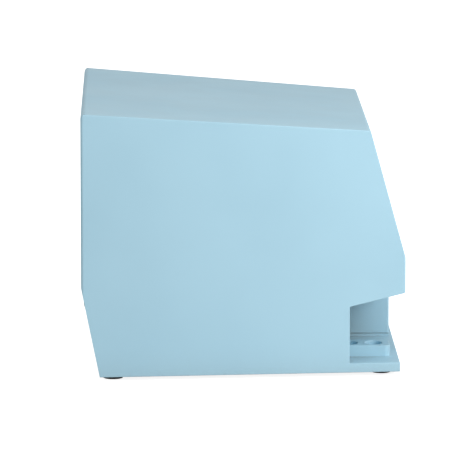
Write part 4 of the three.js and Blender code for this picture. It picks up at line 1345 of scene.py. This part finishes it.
class STATION_OT_electronics(bpy.types.Operator):
    """Build the shelf, the boards, the power supply and the mains inlet"""

    bl_idname = "station.electronics"
    bl_label = "Electronics"

    def execute(self, context):
        fine = context.scene.station_edges.fine
        softened("electronics_shelf", fine, sheet_steel())
        self.board()
        self.vent_screen()
        softened("power_supply", fine, sheet_steel())
        softened("power_inlet", fine, moulded("dark"))
        self.pins()
        return {"FINISHED"}

    def board(self):
        """The controller board with its chip, relays, heat sink, connectors and capacitors."""
        node = "controller_board"
        low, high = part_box(node)
        back, thick = CAD_HIGH.y, 0.0016
        top = low.z + thick
        plain = rounded_outline(high.x - low.x, high.y - low.y, 0.003)
        middle = Matrix.Translation(((low.x + high.x) / 2, (low.y + high.y) / 2, low.z))
        piece(f"fine_{node}", plate(plain, 0, thick, 0.0002), circuit_board(), "cabinet",
              (node,), middle)
        # Each block's limits across, its limits before the back, its height and its material.
        blocks = {
            "board_relay_pair": ((0.020, 0.048), (0.080, 0.108), 0.0090, moulded("key")),
            "board_chip": ((0.070, 0.092), (0.090, 0.112), 0.0024, moulded("dark")),
            "board_plug_row": ((0.060, 0.110), (0.140, 0.150), 0.0115, moulded("key")),
            "board_inductor": ((0.122, 0.146), (0.100, 0.128), 0.0150, cast_metal()),
            "board_socket": ((0.070, 0.100), (0.180, 0.196), 0.0095, moulded("dark")),
        }
        for name, ((x0, x1), (s0, s1), height, material) in blocks.items():
            solid = block((x0, back - s1, top), (x1, back - s0, top + height))
            piece(name, solid, material, "cabinet", edge=0.0005)
        self.heat_sink(back - 0.150, top)
        self.capacitors(back - 0.079, top)

    def heat_sink(self, start, top):
        """Six upright fins across the board."""
        left, right, pitch, gap, height = 0.020, 0.050, 0.0065, 0.0030, 0.005
        fins = []
        for k in range(6):
            near = start - pitch * k
            fins.append(block((left, near - pitch + gap, top), (right, near, top + height)))
        piece("board_heat_sink", joined(*fins), cast_metal(), "cabinet", edge=0.0003)

    def capacitors(self, y, top):
        """Two round cans, each with a groove near its foot and a sunk lid."""
        foot, radius, groove, shoulder, lid = 0.0058, 0.0060, 0.0056, 0.0054, 0.0050
        can = [(0, 0), (foot, 0), (radius, 0.0004), (radius, 0.0012), (groove, 0.0018), (radius, 0.0024),
               (radius, 0.0140), (shoulder, 0.0146), (lid, 0.0144), (0, 0.0144)]
        for k, x in enumerate((0.127, 0.141)):
            piece(f"board_capacitor_{k + 1}", turned(can, 40), sheet_steel(), "cabinet",
                  place=Matrix.Translation((x, y, top)))

    def vent_screen(self):
        """A dust screen behind the vents in the sloping foot of the back."""
        x, z, width, height, thick, behind = 0.035, 0.048, 0.102, 0.056, 0.0005, 0.0040
        sheet = plate(rounded_outline(width, height, 0.003), -behind, thick - behind, 0.0001)
        piece("vent_screen", sheet, moulded("dark"), "cabinet", place=on_back_slope(x, z))

    def pins(self):
        """Three flat pins inside the inlet, the middle one lower than the others."""
        low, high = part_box("power_inlet")
        middle = (low + high) / 2
        reach, half_width, half_thick = 0.014, 0.002, 0.001
        root = middle.y - 0.006
        for k, (x, z) in enumerate(((-0.0065, 0.0018), (0.0, -0.0025), (0.0065, 0.0018))):
            centre = Vector((middle.x + x, root, middle.z + z))
            low_corner = centre - Vector((half_thick, 0, half_width))
            high_corner = centre + Vector((half_thick, reach, half_width))
            piece(f"inlet_pin_{k + 1}", block(low_corner, high_corner), bright_steel(), "cabinet",
                  edge=0.0004)


class STATION_OT_fasteners(bpy.types.Operator):
    """Put in the screws that hold the cover to the base and the door hinges"""

    bl_idname = "station.fasteners"
    bl_label = "Fasteners"

    def execute(self, context):
        self.hinge_screws()
        self.base_screws()
        self.cover_screws()
        return {"FINISHED"}

    def cover_screws(self):
        """Two screws at each end of the sloping foot of the back."""
        from_side = 0.017
        for z in (0.030, 0.074):
            for side, name in SIDES:
                place = on_back_slope(side * (CAD_HIGH.x - from_side), z)
                screw(f"cover_screw_{name}_{round(z / MM)}", place, "cabinet", 0.0034, 0.0016)

    def hinge_screws(self):
        """Two screws on the inner side of each hinge leaf, which looks to the front."""
        from_end, from_edge = 0.012, 0.006
        for end in ("lower", "upper"):
            low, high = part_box(f"hinge_leaf_{end}")
            for k, z in enumerate((low.z + from_end, high.z - from_end)):
                place = Matrix.Translation((low.x + from_edge, low.y, z)) @ FRONT
                screw(f"hinge_{end}_screw_{k + 1}", place, "cabinet", 0.0022, 0.0012)

    def base_screws(self):
        """Six screws up through the base plate, in rows at its front, middle and back."""
        low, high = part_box("base_plate")
        down = Matrix.Rotation(math.pi, 4, "X")
        from_end = 0.030
        rows = ((low.y + from_end, 0.100), (0.0, 0.150), (high.y - from_end, 0.130))
        for k, (y, x) in enumerate(rows):
            for side, name in SIDES:
                place = Matrix.Translation((side * x, y, low.z)) @ down
                screw(f"base_screw_{name}_{k + 1}", place, "cabinet", 0.0026, 0.0014)


class STATION_PT_panel(bpy.types.Panel):
    """Sidebar panel that lists the steps in the order they run"""

    bl_idname = "STATION_PT_panel"
    bl_label = "Parking Pay Station"
    bl_space_type = "VIEW_3D"
    bl_region_type = "UI"
    bl_category = "Pay Station"

    def draw(self, context):
        for settings in SETTINGS:
            group_of = getattr(context.scene, settings)
            box = self.layout.box()
            for name in SETTINGS[settings].__annotations__:
                box.prop(group_of, name)
        for step in STEPS:
            self.layout.operator(step.bl_idname)


SETTINGS = {
    "station_paint": StationPaint,
    "station_colours": StationColours,
    "station_edges": StationEdges,
    "station_stage": StationStage,
}
STEPS = (
    STATION_OT_stage,
    STATION_OT_cover,
    STATION_OT_front,
    STATION_OT_feet,
    STATION_OT_tray,
    STATION_OT_display,
    STATION_OT_keys,
    STATION_OT_reader,
    STATION_OT_slots,
    STATION_OT_door,
    STATION_OT_drawer,
    STATION_OT_coin_path,
    STATION_OT_printer,
    STATION_OT_electronics,
    STATION_OT_fasteners,
)
CLASSES = (*SETTINGS.values(), *STEPS, STATION_PT_panel)


def register():
    for made in CLASSES:
        bpy.utils.register_class(made)
    for name, settings in SETTINGS.items():
        setattr(bpy.types.Scene, name, PointerProperty(type=settings))


def unregister():
    for name in SETTINGS:
        delattr(bpy.types.Scene, name)
    for made in reversed(CLASSES):
        bpy.utils.unregister_class(made)


def main():
    register()
    for step in STEPS:
        family, name = step.bl_idname.split(".")
        getattr(getattr(bpy.ops, family), name)()


if __name__ == "__main__":
    main()
